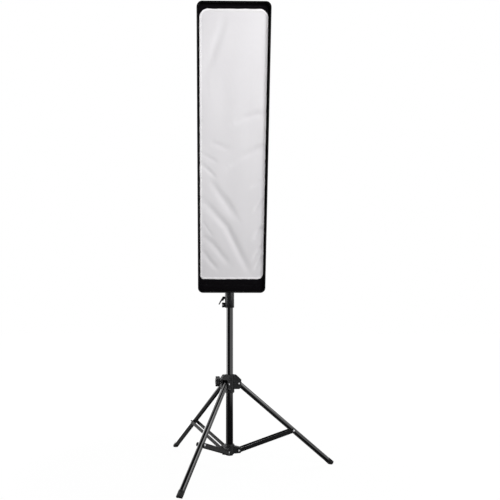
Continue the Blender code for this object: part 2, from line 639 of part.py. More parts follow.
def build_softbox(box):
    corner = 0.0180
    sections = ((REAR, REAR_HALF, 0.0300), (LIP, LIP_HALF, corner), (FRONT, FRONT_HALF, corner))
    loft("softbox_shell", sections, box, BLACK_FABRIC)
    inner = rounded_outline(rectangle(*INNER_PANEL_HALF), 0.0300)
    add_plate("inner_diffuser", inner, 0.0020, box, WHITE_FABRIC, location=(0, 0, INNER_PANEL))
    outer = rounded_outline(rectangle(*FRONT_PANEL_HALF), 0.0150)
    add_plate("front_diffuser", outer, 0.0020, box, WHITE_FABRIC, location=(0, 0, FRONT_PANEL + 0.001))

    ring_profile = [
        (0.0535, 0.0865), (0.0550, 0.0850), (0.0550, 0.0640), (0.0535, 0.0625), (0.0300, 0.0625),
        (0.0300, 0.0865),
    ]
    ring = add_turned("speed_ring", ring_profile, box, CASTING, hollow=True)
    names = {(1, 1): "top_right", (-1, 1): "top_left", (-1, -1): "bottom_left", (1, -1): "bottom_right"}
    for (sign_x, sign_y), corner_name in names.items():
        points = rod_points(sign_x, sign_y)
        add_wire("rod_" + corner_name, points, ROD_RADIUS, box, SPRING)
        step_back = [2 * a - b for a, b in zip(points[0], points[1])]
        begin = [a + 0.15 * (b - a) for a, b in zip(points[0], step_back)]
        cut(ring, add_wire("rod_socket_" + corner_name, [begin, points[1]], ROD_RADIUS + 0.0006, box))

    screw_z = 0.0700
    cut(ring, add_cylinder("ring_screw_hole", 0.0033, 0.0300, box, None, (0.0450, 0, screw_z), ALONG_X, 12))
    screw_frame = add_frame("ring_screw_frame", box, (0.0560, 0, screw_z), ALONG_X)
    knob = add_lobed_knob("ring_lock_screw", 0.0068, 0.0130, screw_frame, BLACK_PLASTIC, 4, 24)
    combine(knob, add_cylinder("ring_screw_shank", 0.0027, 0.0270, screw_frame, None, (0, 0, -0.0115),
                               sides=12))


def level_feet(stand, feet):
    """Cut each foot flat at the floor."""
    reach = 0.6
    ground = add_box("floor_cutter", (-reach, -reach, FLOOR_Z - 0.05), (reach, reach, FLOOR_Z), stand)
    for foot in feet:
        cut(foot, ground)


def apply_modifiers():
    """Freeze each part's evaluated mesh, smooth its round faces and keep its edges crisp."""
    graph = bpy.context.evaluated_depsgraph_get()
    meshes = {
        item: bpy.data.meshes.new_from_object(item.evaluated_get(graph))
        for item in PARTS.objects if item.type == "MESH"
    }
    for item, mesh in meshes.items():
        item.modifiers.clear()
        mesh.name = item.name
        mesh.shade_smooth()
        mesh.set_sharp_from_angle(angle=math.radians(35))
        item.data = mesh


def build():
    stand = add_frame("stand")
    build_column(stand)
    slider = add_frame("collar_slide", stand, (0, 0, COLLAR_PIVOT_Z))
    collar = build_sliding_collar(slider)
    build_collar_knob(slider, collar)
    feet = [build_leg(slider, side, azimuth) for side, azimuth in LEG_AZIMUTHS.items()]
    level_feet(stand, feet)
    for side, azimuth in LEG_AZIMUTHS.items():
        build_strut(stand, side, azimuth)
    top = build_sections(stand)

    swivel = add_frame("swivel", top, (0, 0, TILT_PIVOT_Z), (0, 0, YAW))
    build_receiver(swivel)
    build_tilt_handle(swivel)
    tilt = add_frame("tilt", swivel, (0, 0, 0), (TILT, 0, 0))
    build_tilt_bracket(tilt)
    head = add_frame("head", tilt, (0, 0, HEAD_AXIS), ALONG_Y)
    build_lamp_head(head)
    box = add_frame("box", head)
    build_softbox(box)
    apply_modifiers()


build()
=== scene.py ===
"""The finished look of the studio strip softbox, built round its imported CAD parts.

Everything is in metres in the CAD's own frame, +Z up, with the softbox facing -Y. Pieces of the softbox and
of the lamp head are made in the head's frame: X to the right, Y up the front panel and Z forward along the
lamp's axis, so that a weave runs true to its panel.
"""

import json
import math
from math import cos, pi, radians, sin

import bmesh
import bpy
import numpy as np
from mathutils import Matrix, Vector, noise


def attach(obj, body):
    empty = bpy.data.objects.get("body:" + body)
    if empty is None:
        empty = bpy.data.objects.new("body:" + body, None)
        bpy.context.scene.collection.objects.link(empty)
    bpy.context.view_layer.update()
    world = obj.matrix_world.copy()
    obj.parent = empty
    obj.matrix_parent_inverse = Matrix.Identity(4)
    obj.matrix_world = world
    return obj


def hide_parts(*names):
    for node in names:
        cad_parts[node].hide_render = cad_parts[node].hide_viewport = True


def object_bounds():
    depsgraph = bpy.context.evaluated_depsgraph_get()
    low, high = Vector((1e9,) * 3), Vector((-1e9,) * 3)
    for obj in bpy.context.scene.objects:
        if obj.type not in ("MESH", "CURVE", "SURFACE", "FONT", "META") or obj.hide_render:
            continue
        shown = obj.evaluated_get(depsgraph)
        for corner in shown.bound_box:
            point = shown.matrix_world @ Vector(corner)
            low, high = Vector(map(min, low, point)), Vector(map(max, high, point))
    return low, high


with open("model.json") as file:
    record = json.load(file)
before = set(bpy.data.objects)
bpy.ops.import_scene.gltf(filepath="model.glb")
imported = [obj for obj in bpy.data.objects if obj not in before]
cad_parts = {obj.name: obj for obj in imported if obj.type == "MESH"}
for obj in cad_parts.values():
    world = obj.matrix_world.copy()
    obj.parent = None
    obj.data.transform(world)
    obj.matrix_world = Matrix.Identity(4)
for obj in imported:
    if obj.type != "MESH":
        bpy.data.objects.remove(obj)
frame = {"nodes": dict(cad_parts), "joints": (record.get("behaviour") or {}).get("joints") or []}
cad_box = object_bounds()

# --- Cloth: thicknesses and proportions that the frame doesn't give ---
SKIN = 0.0016
LIP_DEPTH = 0.034
REAR_CORNER = 0.03
FRONT_CORNER = 0.018
CORNER_BOW = 0.005
SIDE_SAG = 0.0095
END_SAG = 0.015
RIPPLE = 0.0011
RING_CLEARANCE = 0.0016
PLEATS = 34
PLEAT_HEIGHT = 0.0007
CORNER_SHARE = 0.1
RIM_RADIUS = 0.0017
TAPE = 0.0007
BINDING_WIDTH = 0.0095
SEAM_TAPE_WIDTH = 0.01
CORNERS = ("top_right", "top_left", "bottom_left", "bottom_right")
PIPING_RADIUS = 0.0015
STITCH_PITCH = 0.0042
STITCH_LENGTH = 0.003

# --- Front panel: bands of black hem round the white cloth ---
SIDE_BAND = 0.005
TOP_BAND = 0.016
BOTTOM_BAND = 0.0465
BAND_FOLD_INSET = 0.02
BAND_FOLD_WIDTH = 0.0016
BAND_FOLD_RISE = 0.0009
WHITE_TOP_CORNER = 0.028
WHITE_BOTTOM_CORNERS = (0.013, 0.021)
HEM_WIDTH = 0.006
EDGE_WOBBLE = 0.001
CLOTH = 0.0004
PANEL_CELL = 0.0026
PANEL_DIP = 0.003
PANEL_WAVES = 0.0016
EDGE_PUCKER = 0.0009
BAND_PUFF = 0.0012
BAND_CORNER = 0.015
INNER_CORNER = 0.03
INNER_DIP = 0.004
INNER_HEM = 0.008

# Folds of the front cloth: a line of (share from the left, share from the top), its depth and its width.
FOLDS = (
    (((0.02, 0.68), (0.2, 0.73), (0.41, 0.79), (0.53, 0.85), (0.67, 0.92), (0.79, 0.975)), 0.0039, 0.013),
    (((0.16, 0.61), (0.28, 0.655), (0.42, 0.705), (0.56, 0.76)), 0.003, 0.0125),
    (((0.36, 0.66), (0.5, 0.715), (0.66, 0.79)), 0.0006, 0.008),
    (((0.02, 0.55), (0.12, 0.57), (0.24, 0.6)), 0.0018, 0.007),
    (((0.02, 0.51), (0.14, 0.525), (0.28, 0.545)), 0.0012, 0.008),
    (((0.15, 0.465), (0.3, 0.48), (0.46, 0.495)), 0.0012, 0.01),
    (((0.02, 0.82), (0.2, 0.86), (0.34, 0.905), (0.46, 0.94)), 0.0027, 0.0115),
    (((0.03, 0.88), (0.14, 0.925), (0.29, 0.965)), 0.0022, 0.009),
    (((0.02, 0.765), (0.1, 0.795), (0.2, 0.83)), 0.001, 0.0055),
    (((0.38, 0.02), (0.3, 0.08), (0.19, 0.15), (0.1, 0.21)), 0.0027, 0.014),
    (((0.99, 0.36), (0.84, 0.365), (0.68, 0.378), (0.5, 0.4)), 0.0034, 0.0115),
    (((0.99, 0.48), (0.84, 0.495), (0.66, 0.52), (0.44, 0.56)), 0.0038, 0.012),
    (((0.1, 0.08), (0.09, 0.22), (0.12, 0.36)), 0.0005, 0.01),
    (((0.99, 0.6), (0.9, 0.615), (0.78, 0.64)), 0.0018, 0.0065),
    (((0.99, 0.68), (0.92, 0.7), (0.84, 0.73)), 0.0024, 0.0065),
    (((0.99, 0.79), (0.92, 0.805), (0.84, 0.84)), 0.0036, 0.0075),
    (((0.99, 0.86), (0.92, 0.88), (0.84, 0.92)), 0.0028, 0.0065),
    (((0.99, 0.91), (0.93, 0.93), (0.86, 0.965)), 0.0028, 0.0065),
)

# --- Stand ---
SIDES = ("right", "rear", "front")
COLUMN_WALL = 0.0014
LEG_WALL = 0.0012
BOOT_HEIGHT = 0.026
BOOT_CLEARANCE = 0.0002
BOOT_WALL = 0.0006
BOOT_GROOVE = 0.0003
BOOT_STEP = 0.0006
BOOT_GROOVE_DROPS = (0.0045, 0.008)
ROUNDING_STEPS = 4
RIVET_STEPS = 6
STRUT_RIVET_RADIUS = 0.0048
KNOB_LOBE = 0.07
KNOB_THREAD_PITCH = 0.001
KNOB_THREAD_TOP = 0.001

# Shares of a knob's radius and height along its outline, from the dish in its top to its rounded underside.
KNOB_OUTLINE = ((0.42, 0.9), (0.5, 0.93), (0.54, 1.0), (0.84, 1.0), (0.94, 0.965), (0.985, 0.9),
                (1.0, 0.8), (1.0, 0.22), (0.96, 0.1), (0.86, 0.02))

# --- Lamp head ---
HOUSING_MOUTH = 0.024
FLUTES = 30
FLUTE_DEPTH = 0.0016
PAD_LOW = (-0.016, -0.031)
PAD_HIGH = (0.016, -0.04, 0.031)
RING_BORE = 0.03

# --- Camera and studio ---
CAMERA_PLACE = (0.0854, -2.1669, 0.543)
CAMERA_PAN = radians(3.6)
CAMERA_LENS = 37.46
SENSOR_WIDTH = 36.0
CAMERA_SHIFT = {"shift_x": 0.0654, "shift_y": 0.1494}
HOME_REACH = 0.001
FLOOR_REACH = 30.0
MIRRORED_DARK = 0.012
AMBIENT = 0.175

# --- Materials ---
NOISE_RANGE = (0.3, 0.7)
BLACK_PAINT = ((0.0035, 0.0035, 0.004), (0.007, 0.007, 0.008))


# --- Measures taken from the frame ---

SAME_PLANE = 0.001
JOINTS = {joint["name"]: joint for joint in frame["joints"]}


def axis_of(joint):
    return Vector(JOINTS[joint]["axis"]).normalized()


def pivot_of(joint):
    return Vector(JOINTS[joint]["pos_m"])


def frame_on(origin, forward, side):
    """A placement whose Z is forward and whose X is as near to side as it can be."""
    z = forward.normalized()
    y = z.cross(side).normalized()
    x = y.cross(z)
    return Matrix.Translation(origin) @ Matrix((x, y, z)).transposed().to_4x4()


def points_of(node, placement=Matrix.Identity(4)):
    """A CAD node's vertices in a placement's own axes."""
    vertices = frame["nodes"][node].data.vertices
    flat = np.empty(len(vertices) * 3)
    vertices.foreach_get("co", flat)
    inverse = np.array(placement.inverted())
    return flat.reshape(-1, 3) @ inverse[:3, :3].T + inverse[:3, 3]


def half_size(points, forward):
    """Half the width and height of a skin at one distance forward."""
    near = points[np.abs(points[:, 2] - forward) < SAME_PLANE]
    return np.abs(near[:, :2]).max(axis=0)


def round_measures(node, placement):
    """Lowest point, highest point and radius of a round piece along a placement's Z."""
    points = points_of(node, placement)
    radius = np.hypot(points[:, 0], points[:, 1]).max()
    return points[:, 2].min(), points[:, 2].max(), radius


HEAD = frame_on(pivot_of("softbox_turn"), axis_of("softbox_turn"), axis_of("head_tilt"))
SHELL = points_of("softbox_shell", HEAD)
REAR = SHELL[:, 2].min()
FRONT = SHELL[:, 2].max()
LIP = FRONT - LIP_DEPTH
REAR_HALF = half_size(SHELL, REAR)
LIP_HALF = half_size(SHELL, LIP)
FRONT_HALF = half_size(SHELL, FRONT)
RING_HOLE = round_measures("speed_ring", HEAD)[2] + RING_CLEARANCE

PANEL = points_of("front_diffuser", HEAD)
PANEL_HALF = np.abs(PANEL[:, :2]).max(axis=0)
PANEL_FORWARD = PANEL[:, 2].mean()
INNER = points_of("inner_diffuser", HEAD)
INNER_HALF = np.abs(INNER[:, :2]).max(axis=0)
INNER_FORWARD = INNER[:, 2].mean()

WHITE_HALF = (PANEL_HALF[0] - SIDE_BAND, PANEL_HALF[1] - (TOP_BAND + BOTTOM_BAND) / 2)
WHITE_CENTRE = (BOTTOM_BAND - TOP_BAND) / 2
FLOOR = cad_box[0].z


# --- Shader helpers ---

def fill_inputs(tree, node, inputs):
    """Give a node's inputs their values, or link them to other nodes' outputs."""
    for name, value in inputs.items():
        if isinstance(value, bpy.types.NodeSocket):
            tree.links.new(value, node.inputs[name])
        else:
            node.inputs[name].default_value = value


def add_node(tree, kind, inputs=None, family="ShaderNode", **settings):
    """A node of a tree. Each input is another node's output or a value."""
    made = tree.nodes.new(family + kind)
    for name, value in settings.items():
        setattr(made, name, value)
    fill_inputs(tree, made, inputs or {})
    return made


def maths(tree, operation, *values):
    """One operation on values. ADD and MULTIPLY take any number of them."""
    taken = 3 if operation == "MULTIPLY_ADD" else 2
    result = add_node(tree, "Math", dict(enumerate(values[:taken])), operation=operation).outputs[0]
    for value in values[taken:]:
        result = maths(tree, operation, result, value)
    return result


def remap(tree, value, source, target):
    inputs = {0: value, 1: source[0], 2: source[1], 3: target[0], 4: target[1]}
    return add_node(tree, "MapRange", inputs, interpolation_type="SMOOTHSTEP").outputs[0]


def colour_mix(tree, share, first, second):
    colours = [(*c, 1.0) if isinstance(c, tuple) else c for c in (first, second)]
    inputs = {0: share, 6: colours[0], 7: colours[1]}
    return add_node(tree, "Mix", inputs, data_type="RGBA").outputs[2]


def speckle(tree, where, scale, detail=3.0, stretch=(1, 1, 1)):
    """Noise from 0 to 1, finer as scale grows; stretch draws it out along an axis."""
    moved = add_node(tree, "Mapping", {"Vector": where, "Scale": stretch}).outputs[0]
    return add_node(tree, "TexNoise", {"Vector": moved, "Scale": scale, "Detail": detail}).outputs["Fac"]


def raised(tree, height, strength, distance):
    inputs = {"Height": height, "Strength": strength, "Distance": distance}
    return add_node(tree, "Bump", inputs).outputs[0]


def worn_and_highlit_edges(tree, where):
    """1 on rubbed convex edges, broken up by noise, and 0 elsewhere; the mask serves both rubbed wear and a
    painted edge highlight.
    """
    edge = add_node(tree, "NewGeometry").outputs["Pointiness"]
    sharp = remap(tree, edge, (0.53, 0.6), (0.0, 1.0))
    patchy = remap(tree, speckle(tree, where, 180.0), (0.42, 0.62), (0.0, 1.0))
    return maths(tree, "MULTIPLY", sharp, patchy)


def weave_height(tree, where, pitch):
    """A plain weave, from 0 to 1, on any panel that lies along two of the axes."""
    turns = 2 * pi / pitch
    axes = add_node(tree, "SeparateXYZ", {0: where}).outputs
    waves = [maths(tree, "SINE", maths(tree, "MULTIPLY", axis, turns)) for axis in axes]
    total = maths(tree, "MULTIPLY", waves[0], waves[1])
    total = maths(tree, "MULTIPLY_ADD", waves[1], waves[2], total)
    total = maths(tree, "MULTIPLY_ADD", waves[2], waves[0], total)
    return remap(tree, total, (-1.2, 1.2), (0.0, 1.0))


# --- Materials ---

def metal_paint(tree, where, dark, light, roughness, ior):
    """Paint on metal tube: slight orange peel, and hairline scratches along the tube."""
    cloud = speckle(tree, where, 22.0, 5.0)
    scratch = remap(tree, speckle(tree, where, 900.0, 2.0, (1.0, 1.0, 0.04)), (0.66, 0.76), (0.0, 1.0))
    peel = speckle(tree, where, 420.0, 2.0)
    colour = colour_mix(tree, cloud, dark, light)
    colour = colour_mix(tree, maths(tree, "MULTIPLY", scratch, 0.06), colour, (0.1, 0.1, 0.11))
    rough = maths(tree, "MULTIPLY_ADD", scratch, 0.08, remap(tree, cloud, NOISE_RANGE, roughness))
    return dict(Base_Color=colour, Roughness=rough, IOR=ior, Normal=raised(tree, peel, 0.01, 0.0004))


def moulded_plastic(tree, where, dark, light, roughness, grain=1500.0, strength=0.25):
    """Plastic with a fine moulded grain and paler, smoother edges: partly where hands have rubbed it, partly
    a painted edge highlight.
    """
    cloud = speckle(tree, where, 35.0, 4.0)
    pits = speckle(tree, where, grain, 2.0)
    rubbed_and_highlit = worn_and_highlit_edges(tree, where)
    colour = colour_mix(tree, cloud, dark, light)
    # Paler convex edges: rubbed wear and a painted edge highlight.
    colour = colour_mix(tree, maths(tree, "MULTIPLY", rubbed_and_highlit, 0.6), colour, tuple(6 * c for c in light))
    rough = remap(tree, speckle(tree, where, 160.0), NOISE_RANGE, roughness)
    rough = maths(tree, "MULTIPLY_ADD", rubbed_and_highlit, -0.12, rough)
    return dict(Base_Color=colour, Roughness=rough, Normal=raised(tree, pits, strength, 0.0003))


def bare_metal(tree, where, dark, light, roughness, grain, strength, metallic=1.0):
    """Bright, satin or cast metal with a fine grain."""
    fine = speckle(tree, where, grain)
    colour = colour_mix(tree, speckle(tree, where, 60.0, 4.0), dark, light)
    return dict(Base_Color=colour, Metallic=metallic, Roughness=remap(tree, fine, NOISE_RANGE, roughness),
                Normal=raised(tree, fine, strength, 0.0002))


def glazed(tree, where, dark, light, roughness):
    """Glazed ceramic or coated glass."""
    stain = speckle(tree, where, 70.0, 4.0)
    wavy = speckle(tree, where, 180.0, 2.0)
    return dict(Base_Color=colour_mix(tree, stain, dark, light), Coat_Weight=0.5,
                Roughness=remap(tree, stain, NOISE_RANGE, roughness), Normal=raised(tree, wavy, 0.06, 0.0005))


def woven(tree, where, dark, light, pitch, roughness, sheen, strength, metallic=0.0, cloud_scale=9.0,
          shine=0.5):
    """Woven cloth: threads that cross, paler where they rise as a painted highlight and darker between them
    as painted shade, with slow changes of tone.
    """
    threads = weave_height(tree, where, pitch)
    cloud = speckle(tree, where, cloud_scale, 5.0)
    fuzz = speckle(tree, where, 2600.0, 2.0)
    # Colour: the threads' height paints highlight on their crowns and shade between them; the cloud is the
    # cloth's own slow change of tone.
    weave_shade_and_tone = maths(tree, "MULTIPLY_ADD", threads, 0.45, maths(tree, "MULTIPLY", cloud, 0.55))
    height = maths(tree, "MULTIPLY_ADD", fuzz, 0.35, threads)
    return dict(Base_Color=colour_mix(tree, weave_shade_and_tone, dark, light), Metallic=metallic, Sheen_Weight=sheen,
                Roughness=remap(tree, cloud, NOISE_RANGE, roughness), Sheen_Roughness=0.5,
                Specular_IOR_Level=shine, Normal=raised(tree, height, strength, pitch * 0.3))


def looped_tape(tree, where, dark, light):
    """The fuzzy half of a hook and loop tape."""
    loops = speckle(tree, where, 1400.0, 6.0)
    return dict(Base_Color=colour_mix(tree, loops, dark, light), Roughness=1.0, Sheen_Weight=0.03,
                Specular_IOR_Level=0.1, Normal=raised(tree, loops, 0.9, 0.001))


def twisted_thread(tree, where, dark, light):
    """Sewing thread with its plies wound round it, its colour paler on the plies' crowns as a painted
    highlight and darker between them as painted shade.
    """
    wave = add_node(tree, "TexWave", {"Vector": where, "Scale": 900.0}, bands_direction="DIAGONAL")
    plies = wave.outputs["Fac"]
    # The plies' height also sets the colour: painted highlight on their crowns, painted shade between.
    return dict(Base_Color=colour_mix(tree, plies, dark, light), Roughness=0.65, Sheen_Weight=0.2,
                Normal=raised(tree, plies, 0.5, 0.0002))


def start_material(name):
    """A material with its node tree and the piece's own coordinates."""
    material = bpy.data.materials.new(name)
    material.use_nodes = True
    tree = material.node_tree
    return material, tree, add_node(tree, "TexCoord").outputs["Object"]


def make_look(name, slot, recipe, *values):
    """A material made to one of the recipes above, paired with the name of its slot."""
    material, tree, where = start_material(name)
    made = recipe(tree, where, *values)
    fill_inputs(tree, tree.nodes["Principled BSDF"], {key.replace("_", " "): made[key] for key in made})
    return material, slot


# Each look: its material, its slot, its recipe and the values that the recipe takes.
RECIPES = {
    "paint": ("gloss_black_paint", "black_paint", metal_paint, *BLACK_PAINT, (0.06, 0.12), 1.9),
    "strut_paint": ("satin_black_paint", "black_paint", metal_paint, *BLACK_PAINT, (0.3, 0.4), 1.45),
    "plastic": ("grained_black_plastic", "black_plastic", moulded_plastic,
                (0.0125, 0.0125, 0.0135), (0.0165, 0.0165, 0.0175), (0.4, 0.46)),
    # Rubber takes the plastic's paler edges too: rubbed wear and a painted edge highlight.
    "rubber": ("matt_black_rubber", "rubber", moulded_plastic,
               (0.008, 0.008, 0.008), (0.015, 0.015, 0.015), (0.66, 0.82), 700.0, 0.4),
    "steel": ("bright_steel", "steel", bare_metal,
              (0.62, 0.62, 0.64), (0.78, 0.78, 0.8), (0.16, 0.3), 1500.0, 0.08),
    "zinc": ("zinc_plated_steel", "steel", bare_metal,
             (0.8, 0.8, 0.82), (0.92, 0.92, 0.94), (0.34, 0.48), 1200.0, 0.06, 0.35),
    "spring": ("satin_spring_steel", "spring_steel", bare_metal,
               (0.24, 0.24, 0.25), (0.36, 0.36, 0.38), (0.28, 0.42), 900.0, 0.1),
    "casting": ("cast_aluminium", "casting", bare_metal,
                (0.24, 0.24, 0.25), (0.36, 0.36, 0.37), (0.38, 0.56), 1300.0, 0.35),
    "ceramic": ("glazed_ceramic", "ceramic", glazed,
                (0.72, 0.71, 0.68), (0.84, 0.84, 0.82), (0.22, 0.4)),
    "glass": ("coated_glass", "lamp_glass", glazed,
              (0.84, 0.84, 0.81), (0.93, 0.93, 0.91), (0.08, 0.18)),
    "nylon": ("black_nylon", "black_fabric", woven,
              (0.005, 0.0046, 0.0052), (0.013, 0.0122, 0.0134), 0.0009, (0.44, 0.6), 0.03, 0.35),
    "band": ("black_band_cloth", "black_fabric", woven, (0.0022, 0.0018, 0.0024),
             (0.006, 0.005, 0.0064), 0.0009, (0.62, 0.8), 0.012, 0.35, 0.0, 9.0, 0.1),
    "tape": ("black_binding_tape", "black_fabric", woven, (0.003, 0.0026, 0.0032),
             (0.0085, 0.0075, 0.0088), 0.0014, (0.55, 0.72), 0.02, 0.5, 0.0, 9.0, 0.14),
    "velcro": ("black_loop_tape", "black_fabric", looped_tape,
               (0.002, 0.0018, 0.0022), (0.008, 0.0074, 0.0084)),
    "silver": ("silver_lining", "black_fabric", woven,
               (0.55, 0.55, 0.56), (0.8, 0.8, 0.81), 0.0022, (0.28, 0.42), 0.0, 0.4, 0.9),
    "white": ("white_diffusion_cloth", "white_fabric", woven, (0.77, 0.755, 0.775),
              (0.86, 0.845, 0.865), 0.0008, (0.8, 0.92), 0.05, 0.12, 0.0, 6.0),
    "hem": ("white_hem_cloth", "white_fabric", woven,
            (0.93, 0.915, 0.93), (0.985, 0.97, 0.985), 0.001, (0.8, 0.92), 0.05, 0.2),
    "black_thread": ("black_thread", "black_fabric", twisted_thread,
                     (0.004, 0.004, 0.005), (0.03, 0.03, 0.032)),
    "white_thread": ("white_thread", "white_fabric", twisted_thread,
                     (0.52, 0.51, 0.53), (0.8, 0.79, 0.81)),
}
LOOKS = {look: make_look(*recipe) for look, recipe in RECIPES.items()}


# --- Mesh helpers ---

def link_object(name, data):
    """A new object in the scene."""
    item = bpy.data.objects.new(name, data)
    bpy.context.scene.collection.objects.link(item)
    return item


def finish_piece(name, points, faces, body, look, placement=HEAD, replaces=(), smooth_angle=40.0):
    """A mesh piece from points in a placement's axes. It rides on a body and takes a look."""
    mesh = bpy.data.meshes.new(name)
    mesh.from_pydata([tuple(point) for point in points], [], faces)
    shape = bmesh.new()
    shape.from_mesh(mesh)
    bmesh.ops.recalc_face_normals(shape, faces=shape.faces)
    shape.to_mesh(mesh)
    shape.free()
    mesh.shade_smooth()
    mesh.set_sharp_from_angle(angle=radians(smooth_angle))
    item = link_object(name, mesh)
    item.matrix_world = placement
    material, slot = LOOKS[look]
    mesh.materials.append(material)
    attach(item, body)
    if replaces:
        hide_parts(*replaces)
    return item


def ring_faces(rings, count, ends="capped"):
    """Quads between closed rings of count points. The end rings are capped, joined or left open."""
    faces = []
    for ring in range(rings if ends == "joined" else rings - 1):
        following = (ring + 1) % rings
        for index in range(count):
            after = (index + 1) % count
            faces.append((ring * count + index, ring * count + after,
                          following * count + after, following * count + index))
    if ends == "capped":
        faces += [tuple(range(count)), tuple(range((rings - 1) * count, rings * count))]
    return faces


def turned(name, profile, body, look, placement, sides=64, replaces=(), shape_radius=None, ends="capped"):
    """Turn (radius, height) points about a placement's Z. shape_radius may change a radius with the angle."""
    points = []
    for radius, height in profile:
        for index in range(sides):
            angle = 2 * pi * index / sides
            reach = shape_radius(radius, height, angle) if shape_radius else radius
            points.append((reach * cos(angle), reach * sin(angle), height))
    faces = ring_faces(len(profile), sides, ends)
    return finish_piece(name, points, faces, body, look, placement, replaces)


def rounded_end(radius, height, roundness, direction):
    """Profile points that round a turned piece's rim; direction is 1 at its top and -1 at its foot."""
    points = []
    for step in range(ROUNDING_STEPS + 1):
        angle = pi / 2 * step / ROUNDING_STEPS
        points.append((radius - roundness * (1 - cos(angle)),
                       height - direction * roundness * (1 - sin(angle))))
    return points


def outline_point(half, radii, around):
    """Point and outward direction on a rounded rectangle.

    Whole numbers of around are the middles of its corners, counter-clockwise from the top right one.
    """
    side = math.floor(around) % 4
    share = around - math.floor(around)
    facing = pi / 2 * (side + 1)

    def corner_point(corner, angle):
        sign_x, sign_y = ((1, 1), (-1, 1), (-1, -1), (1, -1))[corner]
        outward = Vector((cos(angle), sin(angle)))
        centre = Vector((sign_x * (half[0] - radii[corner]), sign_y * (half[1] - radii[corner])))
        return centre + outward * radii[corner], outward

    following = (side + 1) % 4
    if share < CORNER_SHARE:
        return corner_point(side, facing - pi / 4 * (1 - share / CORNER_SHARE))
    if share > 1 - CORNER_SHARE:
        return corner_point(following, facing + pi / 4 * (1 - (1 - share) / CORNER_SHARE))
    start, outward = corner_point(side, facing)
    end, _ = corner_point(following, facing)
    return start.lerp(end, (share - CORNER_SHARE) / (1 - 2 * CORNER_SHARE)), outward


def lap(short, long, corner=5):
    """Values of around for one lap: short and long are the steps on the straight sides."""
    values = []
    for side, straight in enumerate((short, long, short, long)):
        values += [side + CORNER_SHARE * step / corner for step in range(corner)]
        middle = 1 - 2 * CORNER_SHARE
        values += [side + CORNER_SHARE + middle * step / straight for step in range(straight)]
        values += [side + 1 - CORNER_SHARE + CORNER_SHARE * step / corner for step in range(corner)]
    return values


def between(first, second, share):
    return first + (second - first) * share


def band(name, place, section, arounds, look):
    """A closed section of (across, lift) points swept round a lap; place(around, across, lift) says where."""
    points = [place(around, across, lift) for across, lift in section for around in arounds]
    faces = ring_faces(len(section), len(arounds), "joined")
    finish_piece(name, points, faces, "softbox", look)


def strip(name, place, lengths, widths, thickness, look):
    """A ribbon of cloth with rounded edges; place(length, width, lift) says where."""
    section = [(width, 0.0) for width in widths] + [(width, thickness) for width in reversed(widths)]
    points = [place(length, width, lift) for length in lengths for width, lift in section]
    finish_piece(name, points, ring_faces(len(lengths), len(section)), "softbox", look)


def stitches(name, path, look="black_thread", radius=0.00035):
    """A row of stitches along a path of points, each a short lens of thread lying on the cloth."""
    points, faces = [], []
    travelled = 0.0
    for start, end in zip(path, path[1:]):
        step = end - start
        distance = step.length
        if distance < 1e-7:
            continue
        along = step / distance
        side = along.orthogonal().normalized()
        other = along.cross(side)
        while travelled < distance:
            centre = start + along * travelled
            first = len(points)
            points += [centre - along * STITCH_LENGTH / 2, centre + along * STITCH_LENGTH / 2]
            points += [centre + side * radius, centre + other * radius,
                       centre - side * radius, centre - other * radius]
            for index in range(4):
                a, b = first + 2 + index, first + 2 + (index + 1) % 4
                faces += [(first, a, b), (first + 1, b, a)]
            travelled += STITCH_PITCH
        travelled -= distance
    finish_piece(name, points, faces, "softbox", look)


def closed(path):
    return path + [path[0]]


def thicken(cloth):
    """Give a sheet of cloth its thickness."""
    weight = cloth.modifiers.new("thickness", "SOLIDIFY")
    weight.thickness = CLOTH
    weight.offset = 0.0


# --- The softbox's black skin ---

def shell_point(forward, around, inset=0.0):
    """A point on the softbox's skin, moved inwards by inset."""
    depth = (forward - REAR) / (LIP - REAR)
    if depth <= 1:
        half = between(REAR_HALF, LIP_HALF, depth)
        corner = between(REAR_CORNER, FRONT_CORNER, depth)
        belly = max(0.0, 4 * depth * (1 - depth))
    else:
        half = between(LIP_HALF, FRONT_HALF, (forward - LIP) / (FRONT - LIP))
        corner = FRONT_CORNER
        belly = 0.0
    bow = CORNER_BOW * belly
    point, outward = outline_point(half + bow, (corner,) * 4, around)
    share = around - math.floor(around)
    along_side = 4 * share * (1 - share)
    long_side = math.floor(around) % 2 == 1
    sag = (SIDE_SAG if long_side else END_SAG) * belly * along_side ** 0.8
    unevenness = noise.noise(Vector((point.x * 26, point.y * 26, forward * 34)))
    sag += RIPPLE * unevenness * min(1.0, 3 * belly) * along_side
    point -= outward * (sag + inset)
    return Vector((point.x, point.y, forward))


def rear_point(around, share, inset=0.0):
    """A point on the rear cloth, from the hole round the speed ring (0) out to the skin (1)."""
    edge = shell_point(REAR, around)
    direction = Vector((edge.x, edge.y)).normalized()
    hole = direction * RING_HOLE
    flat = hole.lerp(Vector((edge.x, edge.y)), share)
    pleats = sin(PLEATS * math.atan2(edge.y, edge.x)) * PLEAT_HEIGHT * (1 - share) ** 0.7
    return Vector((flat.x, flat.y, REAR + pleats + inset))


